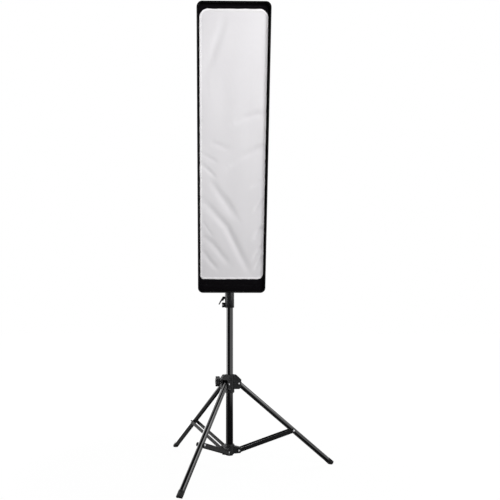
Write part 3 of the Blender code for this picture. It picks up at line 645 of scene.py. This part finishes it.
def build_shell():
    """One closed skin: rear cloth, flaring sides, straight lip and rolled rim, then back along the lining."""
    arounds = lap(16, 54)
    rear_shares = [step / 7 for step in range(7)]
    sides = [between(REAR, LIP, step / 30) for step in range(31)]
    lip = [between(LIP, FRONT - RIM_RADIUS, step / 6) for step in range(1, 7)]

    def skin_rings(forwards, inset=0.0):
        return [[shell_point(forward, around, inset) for around in arounds] for forward in forwards]

    def rear_rings(shares, inset=0.0):
        return [[rear_point(around, share, inset) for around in arounds] for share in shares]

    rings = rear_rings(rear_shares)
    rings += skin_rings(sides + lip)
    for step in range(1, 6):
        angle = pi * step / 6
        inset = SKIN / 2 * (1 - cos(angle))
        rings += skin_rings([FRONT - RIM_RADIUS + RIM_RADIUS * sin(angle)], inset)
    rings += skin_rings(reversed(lip), SKIN)
    silver_start = len(rings)
    rings += skin_rings([forward for forward in reversed(sides) if forward > REAR + SKIN], SKIN)
    rings += rear_rings([share * 0.96 for share in reversed(rear_shares)], SKIN)
    points = [point for ring in rings for point in ring]
    faces = ring_faces(len(rings), len(arounds), "joined")
    shell = finish_piece("softbox_skin", points, faces, "softbox", "nylon", replaces=("softbox_shell",),
                         smooth_angle=60.0)
    shell.data.materials.append(LOOKS["silver"][0])
    for index, polygon in enumerate(shell.data.polygons):
        if silver_start <= index // len(arounds) < len(rings) - 1:
            polygon.material_index = 1
    smooth = shell.modifiers.new("rounding", "SUBSURF")
    smooth.levels = 1
    smooth.render_levels = 1


def skin_place(around, inset, forward):
    """The skin as a place for a band's section of (inset, forward) points."""
    return shell_point(forward, around, inset)


def build_rim():
    """Tape folded over the front rim, with a row of stitches on each face of it."""
    outer, inner = -TAPE, SKIN + TAPE
    middle, reach = (outer + inner) / 2, (inner - outer) / 2
    rear, turn = FRONT - BINDING_WIDTH, FRONT - RIM_RADIUS
    forwards = (rear, FRONT - BINDING_WIDTH / 2, turn)
    section = [(outer, forward) for forward in forwards]
    for step in range(1, 6):
        angle = pi * step / 6
        section.append((middle - reach * cos(angle), turn + reach * sin(angle)))
    section += [(inner, forward) for forward in reversed(forwards)]
    for inset, ends in ((SKIN * 0.9, (rear, turn)), (SKIN * 0.1, (turn, rear))):
        section += [(inset, forward) for forward in ends]
    band("rim_binding", skin_place, section, lap(16, 54, 8), "tape")
    fine = lap(40, 150, 8)
    line = rear + 0.0018
    stitches("rim_stitching", closed([shell_point(line, around, outer) for around in fine]))
    stitches("rim_stitching_inside", closed([shell_point(line, around, inner) for around in fine]))


def build_lip_details():
    """Piping on the seam where the lip starts, and loop tape inside it."""
    arounds = lap(16, 54, 6)
    circle = [(PIPING_RADIUS * cos(a), PIPING_RADIUS * sin(a))
              for a in (2 * pi * step / 8 for step in range(8))]
    band("lip_piping", lambda around, across, lift: shell_point(LIP + lift, around, across - 0.0004),
         circle, arounds, "tape")
    fine = lap(40, 150, 8)
    for label, offset in (("front", 0.0034), ("rear", -0.0034)):
        row = [shell_point(LIP + offset, around, -0.0002) for around in fine]
        stitches("lip_stitching_" + label, closed(row))
    tape_rear = PANEL_FORWARD + 0.0022
    tape_front = FRONT - BINDING_WIDTH - 0.0004
    section = [(SKIN - 0.0002, tape_rear), (SKIN - 0.0002, tape_front), (SKIN + TAPE, tape_front),
               (SKIN + TAPE, tape_rear)]
    band("lip_loop_tape", skin_place, section, arounds, "velcro")


def build_corner_seams():
    """Tape and two rows of stitches over each of the four long corner seams that the rods stretch."""
    lengths = [between(REAR + 0.004, LIP - 0.002, step / 44) for step in range(45)]
    half = SEAM_TAPE_WIDTH / 2
    for corner, corner_name in enumerate(CORNERS):
        around_corner = corner + 4

        def place(forward, width, lift):
            depth = min(1.0, (forward - REAR) / (LIP - REAR))
            radius = between(REAR_CORNER, FRONT_CORNER, depth)
            around = around_corner + CORNER_SHARE * width / (pi / 4 * radius)
            return shell_point(forward, around, -lift)

        strip("corner_tape_" + corner_name, place, lengths, (-half, -half * 0.6, 0.0, half * 0.6, half),
              TAPE + 0.0004, "tape")
        for label, offset in (("a", -half * 0.66), ("b", half * 0.66)):
            row = [place(forward, offset, TAPE + 0.0005) for forward in lengths]
            stitches("corner_stitching_%s_%s" % (corner_name, label), row)


def build_softbox_skin():
    build_shell()
    build_rim()
    build_lip_details()
    build_corner_seams()


# --- The front panel ---

def fold_share(x, y, line, width):
    """How deep a fold is at each point, from 0 to 1, fading towards the ends of its line."""
    left, top = -WHITE_HALF[0], WHITE_CENTRE + WHITE_HALF[1]
    wide, tall = 2 * WHITE_HALF[0], 2 * WHITE_HALF[1]
    corners = [(left + u * wide, top - v * tall) for u, v in line]
    nearest = np.full(x.shape, 1e9)
    place_on_line = np.zeros(x.shape)
    count = len(corners) - 1
    for index, ((ax, ay), (bx, by)) in enumerate(zip(corners, corners[1:])):
        dx, dy = bx - ax, by - ay
        share = np.clip(((x - ax) * dx + (y - ay) * dy) / (dx * dx + dy * dy), 0, 1)
        distance = np.hypot(x - ax - share * dx, y - ay - share * dy)
        closer = distance < nearest
        nearest = np.where(closer, distance, nearest)
        place_on_line = np.where(closer, (index + share) / count, place_on_line)
    fade = np.sin(np.pi * np.clip(place_on_line, 0.02, 0.98)) ** 0.6
    return np.exp(-(nearest / width) ** 2) * fade


def noise_over(x, y, layer):
    """Smooth noise from -1 to 1 at each point of two arrays."""
    values = [noise.noise(Vector((across, up, layer))) for across, up in zip(x.ravel(), y.ravel())]
    return np.array(values).reshape(x.shape)


def panel_height(x, y):
    """How far the front cloth stands behind (-) or before (+) its plane at each point."""
    x, y = np.asarray(x, float), np.asarray(y, float)
    across = np.clip(np.abs(x) / WHITE_HALF[0], 0, 1)
    up = np.clip(np.abs(y - WHITE_CENTRE) / WHITE_HALF[1], 0, 1)
    height = -PANEL_DIP * (1 - across ** 2) * (1 - up ** 4)
    for line, depth, width in FOLDS:
        height -= depth * fold_share(x, y, line, width)
    slow = noise_over(x * 16, y * 5.5, 3.1)
    fine = noise_over(x * 22 + 7, y * 95, 8.4)
    near_edge = np.clip((across - 0.72) / 0.28, 0, 1) ** 2
    return height + PANEL_WAVES * slow * (1 - up ** 6) + EDGE_PUCKER * fine * near_edge


def white_edge(around, inset=0.0):
    """A point on the edge of the white cloth, and the way outwards."""
    radii = (WHITE_TOP_CORNER, WHITE_TOP_CORNER, *WHITE_BOTTOM_CORNERS)
    point, outward = outline_point(WHITE_HALF, radii, around)
    point = point - outward * inset
    return Vector((point.x, point.y + WHITE_CENTRE))


def panel_point(x, y, lift):
    return Vector((x, y, PANEL_FORWARD + float(panel_height(x, y)) + lift))


def build_front_cloth():
    """The white cloth: one curved sheet with its folds, reaching just under the black bands."""
    reach_x = WHITE_HALF[0] + 0.002
    bottom = WHITE_CENTRE - WHITE_HALF[1] - 0.01
    top = WHITE_CENTRE + WHITE_HALF[1] + 0.006
    columns = round(2 * reach_x / PANEL_CELL)
    rows = round((top - bottom) / PANEL_CELL)
    x, y = np.meshgrid(np.linspace(-reach_x, reach_x, columns + 1), np.linspace(bottom, top, rows + 1))
    z = PANEL_FORWARD + panel_height(x, y)
    points = np.stack([x, y, z], axis=-1).reshape(-1, 3)
    wide = columns + 1
    starts = [row * wide + column for row in range(rows) for column in range(columns)]
    faces = [(first, first + 1, first + wide + 1, first + wide) for first in starts]
    cloth = finish_piece("front_cloth", points, faces, "softbox", "white", replaces=("front_diffuser",),
                         smooth_angle=80.0)
    thicken(cloth)


def inward_wobble(point):
    """The uneven line of hand-guided stitching where the white cloth meets the black band."""
    across = noise.noise(Vector((point.x * 90, point.y * 90, 1.7)))
    across += 0.5 * noise.noise(Vector((point.x * 260, point.y * 260, 6.3)))
    return Vector((point.x, point.y - WHITE_CENTRE)).normalized() * EDGE_WOBBLE * across


def build_front_bands():
    """Black hem bands between the white cloth and the lip, and the white hem sewn along their edge."""
    arounds = lap(40, 150, 10)

    def band_place(around, share, lift):
        """share 0 is the panel's outer edge and 1 the edge of the white cloth."""
        outer, _ = outline_point(PANEL_HALF, (BAND_CORNER,) * 4, around)
        inner = white_edge(around)
        middle = outer.lerp(inner, share) + inward_wobble(inner) * share
        if lift > 0 and abs(middle.y - WHITE_CENTRE) > WHITE_HALF[1]:
            from_fold = abs(middle.x) - PANEL_HALF[0] + BAND_FOLD_INSET
            lift += BAND_FOLD_RISE * math.exp(-(from_fold / BAND_FOLD_WIDTH) ** 2)
        return panel_point(middle.x, middle.y, lift)

    puff = BAND_PUFF
    section = [(0.0, -0.0004), (0.0, puff * 0.7), (0.12, puff), (0.5, puff * 1.1), (0.88, puff),
               (1.0, puff * 0.6), (1.0, 0.0002), (0.5, -0.0002)]
    band("front_band", band_place, section, arounds, "band")

    def hem_place(around, inset, lift):
        point = white_edge(around, inset)
        point += inward_wobble(point) * (1 - inset / HEM_WIDTH)
        return panel_point(point.x, point.y, lift)

    hem = [(-0.001, 0.0001), (-0.001, 0.0006), (0.0006, 0.0011), (HEM_WIDTH * 0.5, 0.001),
           (HEM_WIDTH * 0.9, 0.0009), (HEM_WIDTH, 0.0005), (HEM_WIDTH, 0.0001)]
    band("front_hem", hem_place, hem, arounds, "hem")
    fine = lap(60, 220, 10)
    stitches("hem_stitching", closed([hem_place(around, HEM_WIDTH * 0.78, 0.001) for around in fine]),
             "white_thread", radius=0.0003)
    stitches("band_stitching", closed([band_place(around, 0.5, puff * 1.15) for around in fine]))


def build_inner_cloth():
    """The inner diffuser: a hemmed cloth that hangs behind the front one."""
    arounds = lap(20, 60, 8)
    radii = (INNER_CORNER,) * 4
    rings = 14

    def sheet_point(spot, lift=0.0):
        across, up = spot.x / INNER_HALF[0], spot.y / INNER_HALF[1]
        dip = INNER_DIP * (1 - across ** 2) * (1 - up ** 2)
        unevenness = 0.0008 * noise.noise(Vector((spot.x * 14, spot.y * 9, 5.0)))
        return Vector((spot.x, spot.y, INNER_FORWARD - dip + unevenness + lift))

    edge = [outline_point(INNER_HALF, radii, around)[0] for around in arounds]
    points = [sheet_point(spot * (1 - ring / rings)) for ring in range(rings) for spot in edge]
    points.append(sheet_point(Vector((0.0, 0.0))))
    faces = ring_faces(rings, len(arounds), "open")
    first = (rings - 1) * len(arounds)
    for index in range(len(arounds)):
        faces.append((first + index, first + (index + 1) % len(arounds), len(points) - 1))
    cloth = finish_piece("inner_cloth", points, faces, "softbox", "white", replaces=("inner_diffuser",))
    thicken(cloth)

    def hem_place(around, inset, lift):
        spot, outward = outline_point(INNER_HALF, radii, around)
        return sheet_point(spot - outward * inset, lift)

    hem = [(-0.0004, -0.0008), (-0.0004, 0.0008), (INNER_HEM, 0.0008), (INNER_HEM, -0.0008)]
    band("inner_hem", hem_place, hem, arounds, "hem")


# --- The stand ---

def build_tube(name, body, node, placement, wall, roundness=0.0005):
    """A round tube with softly rounded rims."""
    low, high, radius = round_measures(node, placement)
    inside = radius - wall
    rim = inside + roundness * 0.5
    profile = [(inside, high - roundness), (rim, high)]
    profile += rounded_end(radius, high, roundness, 1)[::-1]
    profile += rounded_end(radius, low, roundness, -1)
    profile += [(rim, low), (inside, low + roundness)]
    turned(name, profile, body, "paint", placement, 72, (node,), ends="joined")


def joint_placement(joint):
    """Z runs along a joint's axis."""
    return frame_on(pivot_of(joint), axis_of(joint), Vector((0, 0, 1)))


def leg_placement(side):
    """Z runs up the leg from its foot, X along its hinge pin."""
    pivot = pivot_of("leg_%s_fold" % side)
    middle = Vector(points_of("leg_" + side).mean(axis=0))
    return frame_on(pivot, pivot - middle, axis_of("leg_%s_fold" % side))


def build_foot(side):
    """A ribbed rubber boot, worn flat where it meets the floor."""
    placement = leg_placement(side)
    low = points_of("foot_" + side, placement)[:, 2].min()
    tube_radius = round_measures("leg_" + side, placement)[2]
    top = low + BOOT_HEIGHT
    outside = tube_radius + BOOT_WALL
    groove = outside - BOOT_GROOVE
    profile = [(tube_radius + BOOT_CLEARANCE, top), (groove, top), (outside, top - BOOT_STEP)]
    for drop in BOOT_GROOVE_DROPS:
        place = top - drop
        profile += [(outside, place + BOOT_STEP), (groove, place), (outside, place - BOOT_STEP)]
    profile += rounded_end(outside, low, 0.0015, -1)
    profile.append((0.0005, low))
    foot = turned("foot_%s_boot" % side, profile, "leg_" + side, "rubber", placement, 48, ("foot_" + side,))
    shape = bmesh.new()
    shape.from_mesh(foot.data)
    inverse = placement.inverted()
    ground = inverse @ Vector((*placement.translation.xy, FLOOR))
    upward = inverse.to_3x3() @ Vector((0, 0, 1))
    whole = shape.verts[:] + shape.edges[:] + shape.faces[:]
    bmesh.ops.bisect_plane(shape, geom=whole, plane_co=ground, plane_no=upward, clear_inner=True)
    bmesh.ops.holes_fill(shape, edges=[edge for edge in shape.edges if edge.is_boundary], sides=0)
    shape.to_mesh(foot.data)
    shape.free()


def domed_head(radius, height, rise):
    """Profile points of a domed head, from the middle of its top to its rim."""
    angles = [pi / 2 * step / RIVET_STEPS for step in range(RIVET_STEPS, -1, -1)]
    return [(max(radius * cos(angle), 0.0001), height + rise * sin(angle)) for angle in angles]


def rivet(name, body, placement, half_length, radius, replaces):
    """A steel pin with a domed head at each end, along a placement's Z."""
    dome = domed_head(radius * 1.7, half_length, radius * 0.62)
    profile = dome + [(radius, half_length), (radius, -half_length)]
    profile += [(reach, -height) for reach, height in reversed(dome)]
    turned(name, profile, body, "zinc", placement, 32, replaces)


def build_rivets():
    for side in SIDES:
        for part, body in (("leg", "leg_collar"), ("strut", "strut_" + side)):
            node = "%s_pin_%s" % (part, side)
            placement = joint_placement("%s_%s_fold" % (part, side))
            _, high, head_radius = round_measures(node, placement)
            rivet(node + "_rivet", body, placement, high - head_radius * 0.33, head_radius / 1.7, (node,))
        add_strut_rivets(side)


def add_strut_rivets(side):
    """A bright domed head on each strut bar, over the leg."""
    joint = "strut_%s_fold" % side
    pivot, axis = pivot_of(joint), axis_of(joint)
    leg_axis = leg_placement(side).to_3x3().col[2]
    for bar in ("left", "right"):
        node = "strut_%s_%s" % (side, bar)
        middle = Vector(points_of(node).mean(axis=0))
        lean = middle - pivot
        lean -= axis * lean.dot(axis)
        along = frame_on(pivot, lean, axis)
        points = points_of(node, along)
        end = points[:, 2].max() - np.abs(points[:, 1]).max()
        outward = 1 if points[:, 0].mean() > 0 else -1
        face = (points[:, 0] * outward).max()
        place = along @ Vector((outward * face, 0, end))
        head = frame_on(place, axis * outward, leg_axis)
        dome = domed_head(STRUT_RIVET_RADIUS, 0.0, 0.002)
        dome.append((STRUT_RIVET_RADIUS, -0.0012))
        turned("strut_rivet_%s_%s" % (side, bar), dome, "strut_" + side, "zinc", head, 32)


def build_knob(name, node, joint, lobes, shank_radius):
    """A lobed hand knob on a threaded shank; Z runs outwards along the screw."""
    placement = joint_placement(joint)
    low, high, radius = round_measures(node, placement)
    profile = [(0.0002, high * 0.9)]
    profile += [(radius * across, high * up) for across, up in KNOB_OUTLINE]
    profile += [(radius * 0.6, 0.0002), (radius * 0.3, 0.0002)]

    def grips(reach, height, angle):
        if reach <= radius * 0.8:
            return reach
        return reach * (1 - KNOB_LOBE + KNOB_LOBE * cos(lobes * angle))

    turned(name, profile, node, "plastic", placement, 96, (node,), grips)
    turns = int((KNOB_THREAD_TOP - low) / KNOB_THREAD_PITCH)
    thread = [(0.0004, KNOB_THREAD_TOP)]
    for turn in range(turns):
        height = KNOB_THREAD_TOP - turn * KNOB_THREAD_PITCH
        thread += [(shank_radius, height), (shank_radius * 0.86, height - KNOB_THREAD_PITCH / 2)]
    thread += [(shank_radius, KNOB_THREAD_TOP - turns * KNOB_THREAD_PITCH), (0.0004, low)]
    turned(name + "_screw", thread, node, "steel", placement, 24)


def build_stand():
    upright = Matrix.Identity(4)
    build_tube("lower_column", "column", "column_tube", upright, COLUMN_WALL)
    build_tube("middle_tube", "mid_section", "mid_tube", upright, COLUMN_WALL)
    build_tube("upper_tube", "top_section", "top_tube", upright, COLUMN_WALL)
    for side in SIDES:
        build_tube("leg_%s_tube" % side, "leg_" + side, "leg_" + side, leg_placement(side), LEG_WALL, 0.0008)
        build_foot(side)
    build_rivets()
    build_knob("collar_hand_knob", "collar_knob", "collar_knob_turn", 6, 0.0038)
    build_knob("receiver_hand_knob", "receiver_knob", "receiver_knob_turn", 5, 0.0032)
    build_knob("ring_hand_screw", "ring_lock_screw", "ring_screw_turn", 4, 0.0027)


# --- The lamp head ---

def build_housing():
    """The lamp housing: a drum with cooling flutes, and the flat pad that the bracket is screwed to."""
    points = points_of("head_housing", HEAD)
    low, high = points[:, 2].min(), points[:, 2].max()
    radius = points[:, 0].max()
    flute_low, flute_high = low + 0.014, high - 0.03

    def flutes(reach, height, angle):
        fluted = flute_low < height < flute_high and reach > radius * 0.99
        away_from_pad = sin(angle) > -0.8
        if fluted and away_from_pad:
            return reach - FLUTE_DEPTH * max(0.0, cos(FLUTES * angle)) ** 0.5
        return reach

    inside = high - 0.003
    profile = [(HOUSING_MOUTH, inside), (HOUSING_MOUTH, high)]
    profile += rounded_end(radius, high, 0.0016, 1)[::-1]
    steps = 26
    profile += [(radius, between(flute_high + 0.003, flute_low - 0.003, step / steps))
                for step in range(steps + 1)]
    profile += [(radius, low + 0.004), (radius - 0.0008, low + 0.0036), (radius - 0.0008, low + 0.0026),
                (radius, low + 0.0022), (radius, low), (radius - 0.0025, low), (radius - 0.0025, inside)]
    turned("lamp_housing", profile, "lamp_head", "plastic", HEAD, 240, ("head_housing",), flutes, "joined")
    pad_low = (PAD_LOW[0], points[:, 1].min(), PAD_LOW[1])
    rounded_block("housing_pad", pad_low, PAD_HIGH, 0.0015, "lamp_head", "plastic")


def rounded_block(name, low, high, roundness, body, look):
    """A block with rounded edges, in the head's frame."""
    shape = bmesh.new()
    bmesh.ops.create_cube(shape, size=1.0)
    for vertex in shape.verts:
        for axis in range(3):
            middle = (low[axis] + high[axis]) / 2
            vertex.co[axis] = middle + vertex.co[axis] * (high[axis] - low[axis])
    bmesh.ops.bevel(shape, geom=shape.edges[:], offset=roundness, segments=3, profile=0.5, affect="EDGES")
    points = [tuple(vertex.co) for vertex in shape.verts]
    shape.verts.index_update()
    faces = [tuple(vertex.index for vertex in face.verts) for face in shape.faces]
    shape.free()
    return finish_piece(name, points, faces, body, look)


def build_ring():
    """The speed ring that the rods plug into: a casting with a groove round it and a rounded flange."""
    low, high, radius = round_measures("speed_ring", HEAD)
    middle = (low + high) / 2
    profile = [(RING_BORE, high - 0.001), (RING_BORE + 0.001, high)]
    profile += rounded_end(radius, high, 0.002, 1)[::-1]
    profile += [(radius, middle + 0.004), (radius - 0.0016, middle + 0.003),
                (radius - 0.0016, middle - 0.003), (radius, middle - 0.004)]
    profile += rounded_end(radius, low, 0.002, -1)
    profile += [(0.044, low), (0.043, low + 0.0012), (0.036, low + 0.0012), (0.035, low),
                (RING_BORE + 0.001, low), (RING_BORE, low + 0.001)]
    turned("mounting_ring", profile, "softbox", "casting", HEAD, 128, ("speed_ring",), ends="joined")


# --- CAD pieces that keep their shape ---

KEPT_LOOKS = {
    "strut_paint": tuple("strut_%s_%s" % (side, bar) for side in SIDES for bar in ("left", "right")),
    "plastic": ("foot_plug", "lower_collar", "lower_lock_collar", "upper_lock_collar", "lower_lock_lever",
                "upper_lock_lever", "sliding_collar", "tilt_handle", "rear_cover", "power_inlet",
                "power_switch"),
    "steel": ("lower_lock_bolt", "upper_lock_bolt", "spigot", "bracket_screw_front", "bracket_screw_rear"),
    "spring": tuple("rod_" + corner for corner in CORNERS),
    "casting": ("spigot_receiver", "tilt_bracket", "ring_hub"),
    "ceramic": ("lamp_socket", "lamp_base"),
    "glass": ("lamp_tube",),
}
EDGE_ROUNDING = {"strut_paint": 0.0004, "plastic": 0.0007, "casting": 0.0006}
HARD_EDGE = radians(38)
FLAT_ANGLE = radians(0.5)
WELD_DISTANCE = 0.00001


def dress_kept_parts():
    """Give each CAD piece its material, smooth shading and, where it has hard edges, a small rounding."""
    smoothing = smooth_shading()
    for look, nodes in KEPT_LOOKS.items():
        for node in nodes:
            item = frame["nodes"][node]
            item.data.materials.clear()
            item.data.materials.append(LOOKS[look][0])
            item.modifiers.new("shading", "NODES").node_group = smoothing
            if look in EDGE_ROUNDING:
                round_edges(item, EDGE_ROUNDING[look])


def smooth_shading():
    """Geometry nodes that drop a CAD piece's flat normals, weld its facets and keep only hard edges sharp."""
    tree = bpy.data.node_groups.new("smooth_shading", "GeometryNodeTree")
    for direction in ("INPUT", "OUTPUT"):
        tree.interface.new_socket("Geometry", in_out=direction, socket_type="NodeSocketGeometry")

    def step(kind, inputs=None, **settings):
        return add_node(tree, kind, inputs, "GeometryNode", **settings).outputs[0]

    shape = add_node(tree, "GroupInput", family="Node").outputs[0]
    shape = step("RemoveAttribute", {0: shape, "Name": "custom_normal"})
    shape = step("MergeByDistance", {"Geometry": shape, "Distance": WELD_DISTANCE})
    shape = step("SetShadeSmooth", {0: shape})
    bend = step("InputMeshEdgeAngle")
    hard = add_node(tree, "Compare", {0: bend, 1: HARD_EDGE}, "FunctionNode").outputs[0]
    shape = step("SetShadeSmooth", {0: shape, 1: hard, "Shade Smooth": False}, domain="EDGE")
    add_node(tree, "GroupOutput", {0: shape}, "Node")
    return tree


def round_edges(item, width):
    """Join a piece's flat facets into whole faces, then round the hard edges between them."""
    joined = item.modifiers.new("whole_faces", "DECIMATE")
    joined.decimate_type = "DISSOLVE"
    joined.angle_limit = FLAT_ANGLE
    bevel = item.modifiers.new("edge_rounding", "BEVEL")
    bevel.width = width
    bevel.segments = 2
    bevel.limit_method = "ANGLE"
    bevel.angle_limit = HARD_EDGE
    bevel.use_clamp_overlap = True
    bevel.harden_normals = True


# --- Studio ---

def light(name, place, target, side, power):
    """A soft square lamp that neither the camera nor reflections see."""
    data = bpy.data.lights.new(name, "AREA")
    data.shape = "RECTANGLE"
    data.size = data.size_y = side
    data.energy = power
    item = link_object(name, data)
    item.location = place
    item.rotation_euler = (Vector(target) - Vector(place)).to_track_quat("-Z", "Y").to_euler()
    item.visible_camera = False
    item.visible_glossy = False


def build_lights():
    light("key", (1.3, -1.75, 1.6), (0.0, -0.3, 1.3), 1.0, 39.5)
    light("fill", (-1.6, -2.4, 1.7), (0.0, -0.2, 1.2), 1.4, 8.0)
    light("back", (0.9, 2.4, 2.2), (0.0, 0.0, 1.0), 2.0, 90.0)


def build_world():
    """White behind the object. In reflections, a dark camera side between a bright left and a dim right, with
    a bright rim over the back and a patch high on the right; soft light on all else.
    """
    world = bpy.data.worlds.new("studio")
    bpy.context.scene.world = world
    world.use_nodes = True
    world.cycles.sampling_method = "NONE"
    tree = world.node_tree
    direction = add_node(tree, "TexCoord").outputs["Generated"]
    x, y, z = add_node(tree, "SeparateXYZ", {0: direction}).outputs

    def zone(*ramps):
        """Ramps multiplied; each is (direction, where it starts and ends, its values there)."""
        return maths(tree, "MULTIPLY", *(remap(tree, *ramp) for ramp in ramps))

    left = zone((y, (-0.58, -0.38), (0.0, 3.3)), (x, (-0.05, -0.25), (0.0, 1.0)),
                (z, (-0.17, -0.11), (0.06, 1.0)))
    right = zone((x, (0.22, 0.34), (0.0, 0.75)), (z, (-0.24, -0.1), (0.0, 1.0)))
    behind = zone((y, (0.35, 0.6), (0.0, 0.35)), (z, (-0.3, -0.1), (0.3, 1.0)))
    below = remap(tree, z, (0.46, 0.3), (0.0, 1.0))
    sides = maths(tree, "MULTIPLY", maths(tree, "ADD", left, right, behind), below)
    rim = zone((y, (0.05, 0.25), (0.0, 1.5)), (z, (0.32, 0.48), (0.0, 1.0)), (y, (0.78, 0.62), (0.15, 1.0)),
               (x, (0.5, 0.3), (0.25, 1.0)))
    above = zone((x, (0.45, 0.62), (0.0, 2.4)), (z, (0.4, 0.5), (0.0, 1.0)), (z, (0.88, 0.78), (0.0, 1.0)),
                 (y, (0.2, 0.0), (0.0, 1.0)))
    mirrored = maths(tree, "ADD", sides, rim, above, MIRRORED_DARK)
    rays = add_node(tree, "LightPath").outputs
    strength = maths(tree, "ADD", maths(tree, "MULTIPLY", rays["Is Glossy Ray"], mirrored),
                     maths(tree, "MULTIPLY", rays["Is Diffuse Ray"], AMBIENT), rays["Is Camera Ray"])
    background = tree.nodes["Background"]
    background.inputs["Color"].default_value = (1.0, 1.0, 1.0, 1.0)
    tree.links.new(strength, background.inputs["Strength"])


def build_floor():
    """A plain pale floor at the feet: white to the camera, with only a trace of shadow."""
    half = FLOOR_REACH
    mesh = bpy.data.meshes.new("floor")
    mesh.from_pydata([(-half, -half, FLOOR), (half, -half, FLOOR), (half, half, FLOOR), (-half, half, FLOOR)],
                     [], [(0, 1, 2, 3)])
    floor = link_object("floor", mesh)
    floor.visible_glossy = False
    material, tree, where = start_material("pale_floor")
    distance = add_node(tree, "VectorMath", {0: where}, operation="LENGTH").outputs["Value"]
    far = remap(tree, distance, (0.5, 1.4), (0.0, 1.0))
    strength = remap(tree, far, (0, 1), (0.975, 1.0))
    glow = add_node(tree, "Emission", {"Color": (1, 1, 1, 1), "Strength": strength})
    trace = add_node(tree, "BsdfDiffuse", {"Color": (0.025, 0.025, 0.025, 1)})
    to_camera = add_node(tree, "AddShader", {0: glow.outputs[0], 1: trace.outputs[0]})
    to_light = add_node(tree, "BsdfDiffuse", {"Color": (0.3, 0.3, 0.3, 1)})
    camera_ray = add_node(tree, "LightPath").outputs["Is Camera Ray"]
    mixed = add_node(tree, "MixShader", {0: camera_ray, 1: to_light.outputs[0], 2: to_camera.outputs[0]})
    tree.links.new(mixed.outputs[0], tree.nodes["Material Output"].inputs["Surface"])
    mesh.materials.append(material)


def build_camera():
    """A level camera, panned with the softbox. Its lens shift holds only at its home place."""
    data = bpy.data.cameras.new("camera")
    data.sensor_width = SENSOR_WIDTH
    data.lens = CAMERA_LENS
    camera = link_object("camera", data)
    camera.location = CAMERA_PLACE
    camera.rotation_euler = (pi / 2, 0, CAMERA_PAN)
    bpy.context.scene.camera = camera
    for direction, shift in CAMERA_SHIFT.items():
        driver = data.driver_add(direction).driver
        driver.type = "SCRIPTED"
        place = driver.variables.new()
        place.name = "y"
        place.type = "TRANSFORMS"
        place.targets[0].id = camera
        place.targets[0].transform_type = "LOC_Y"
        driver.expression = "%.4f if abs(y - %.4f) < %.4f else 0.0" % (shift, CAMERA_PLACE[1], HOME_REACH)


build_softbox_skin()
build_front_cloth()
build_front_bands()
build_inner_cloth()
build_stand()
build_housing()
build_ring()
dress_kept_parts()
build_floor()
build_world()
build_lights()
build_camera()
bpy.context.scene.view_settings.view_transform = "Standard"
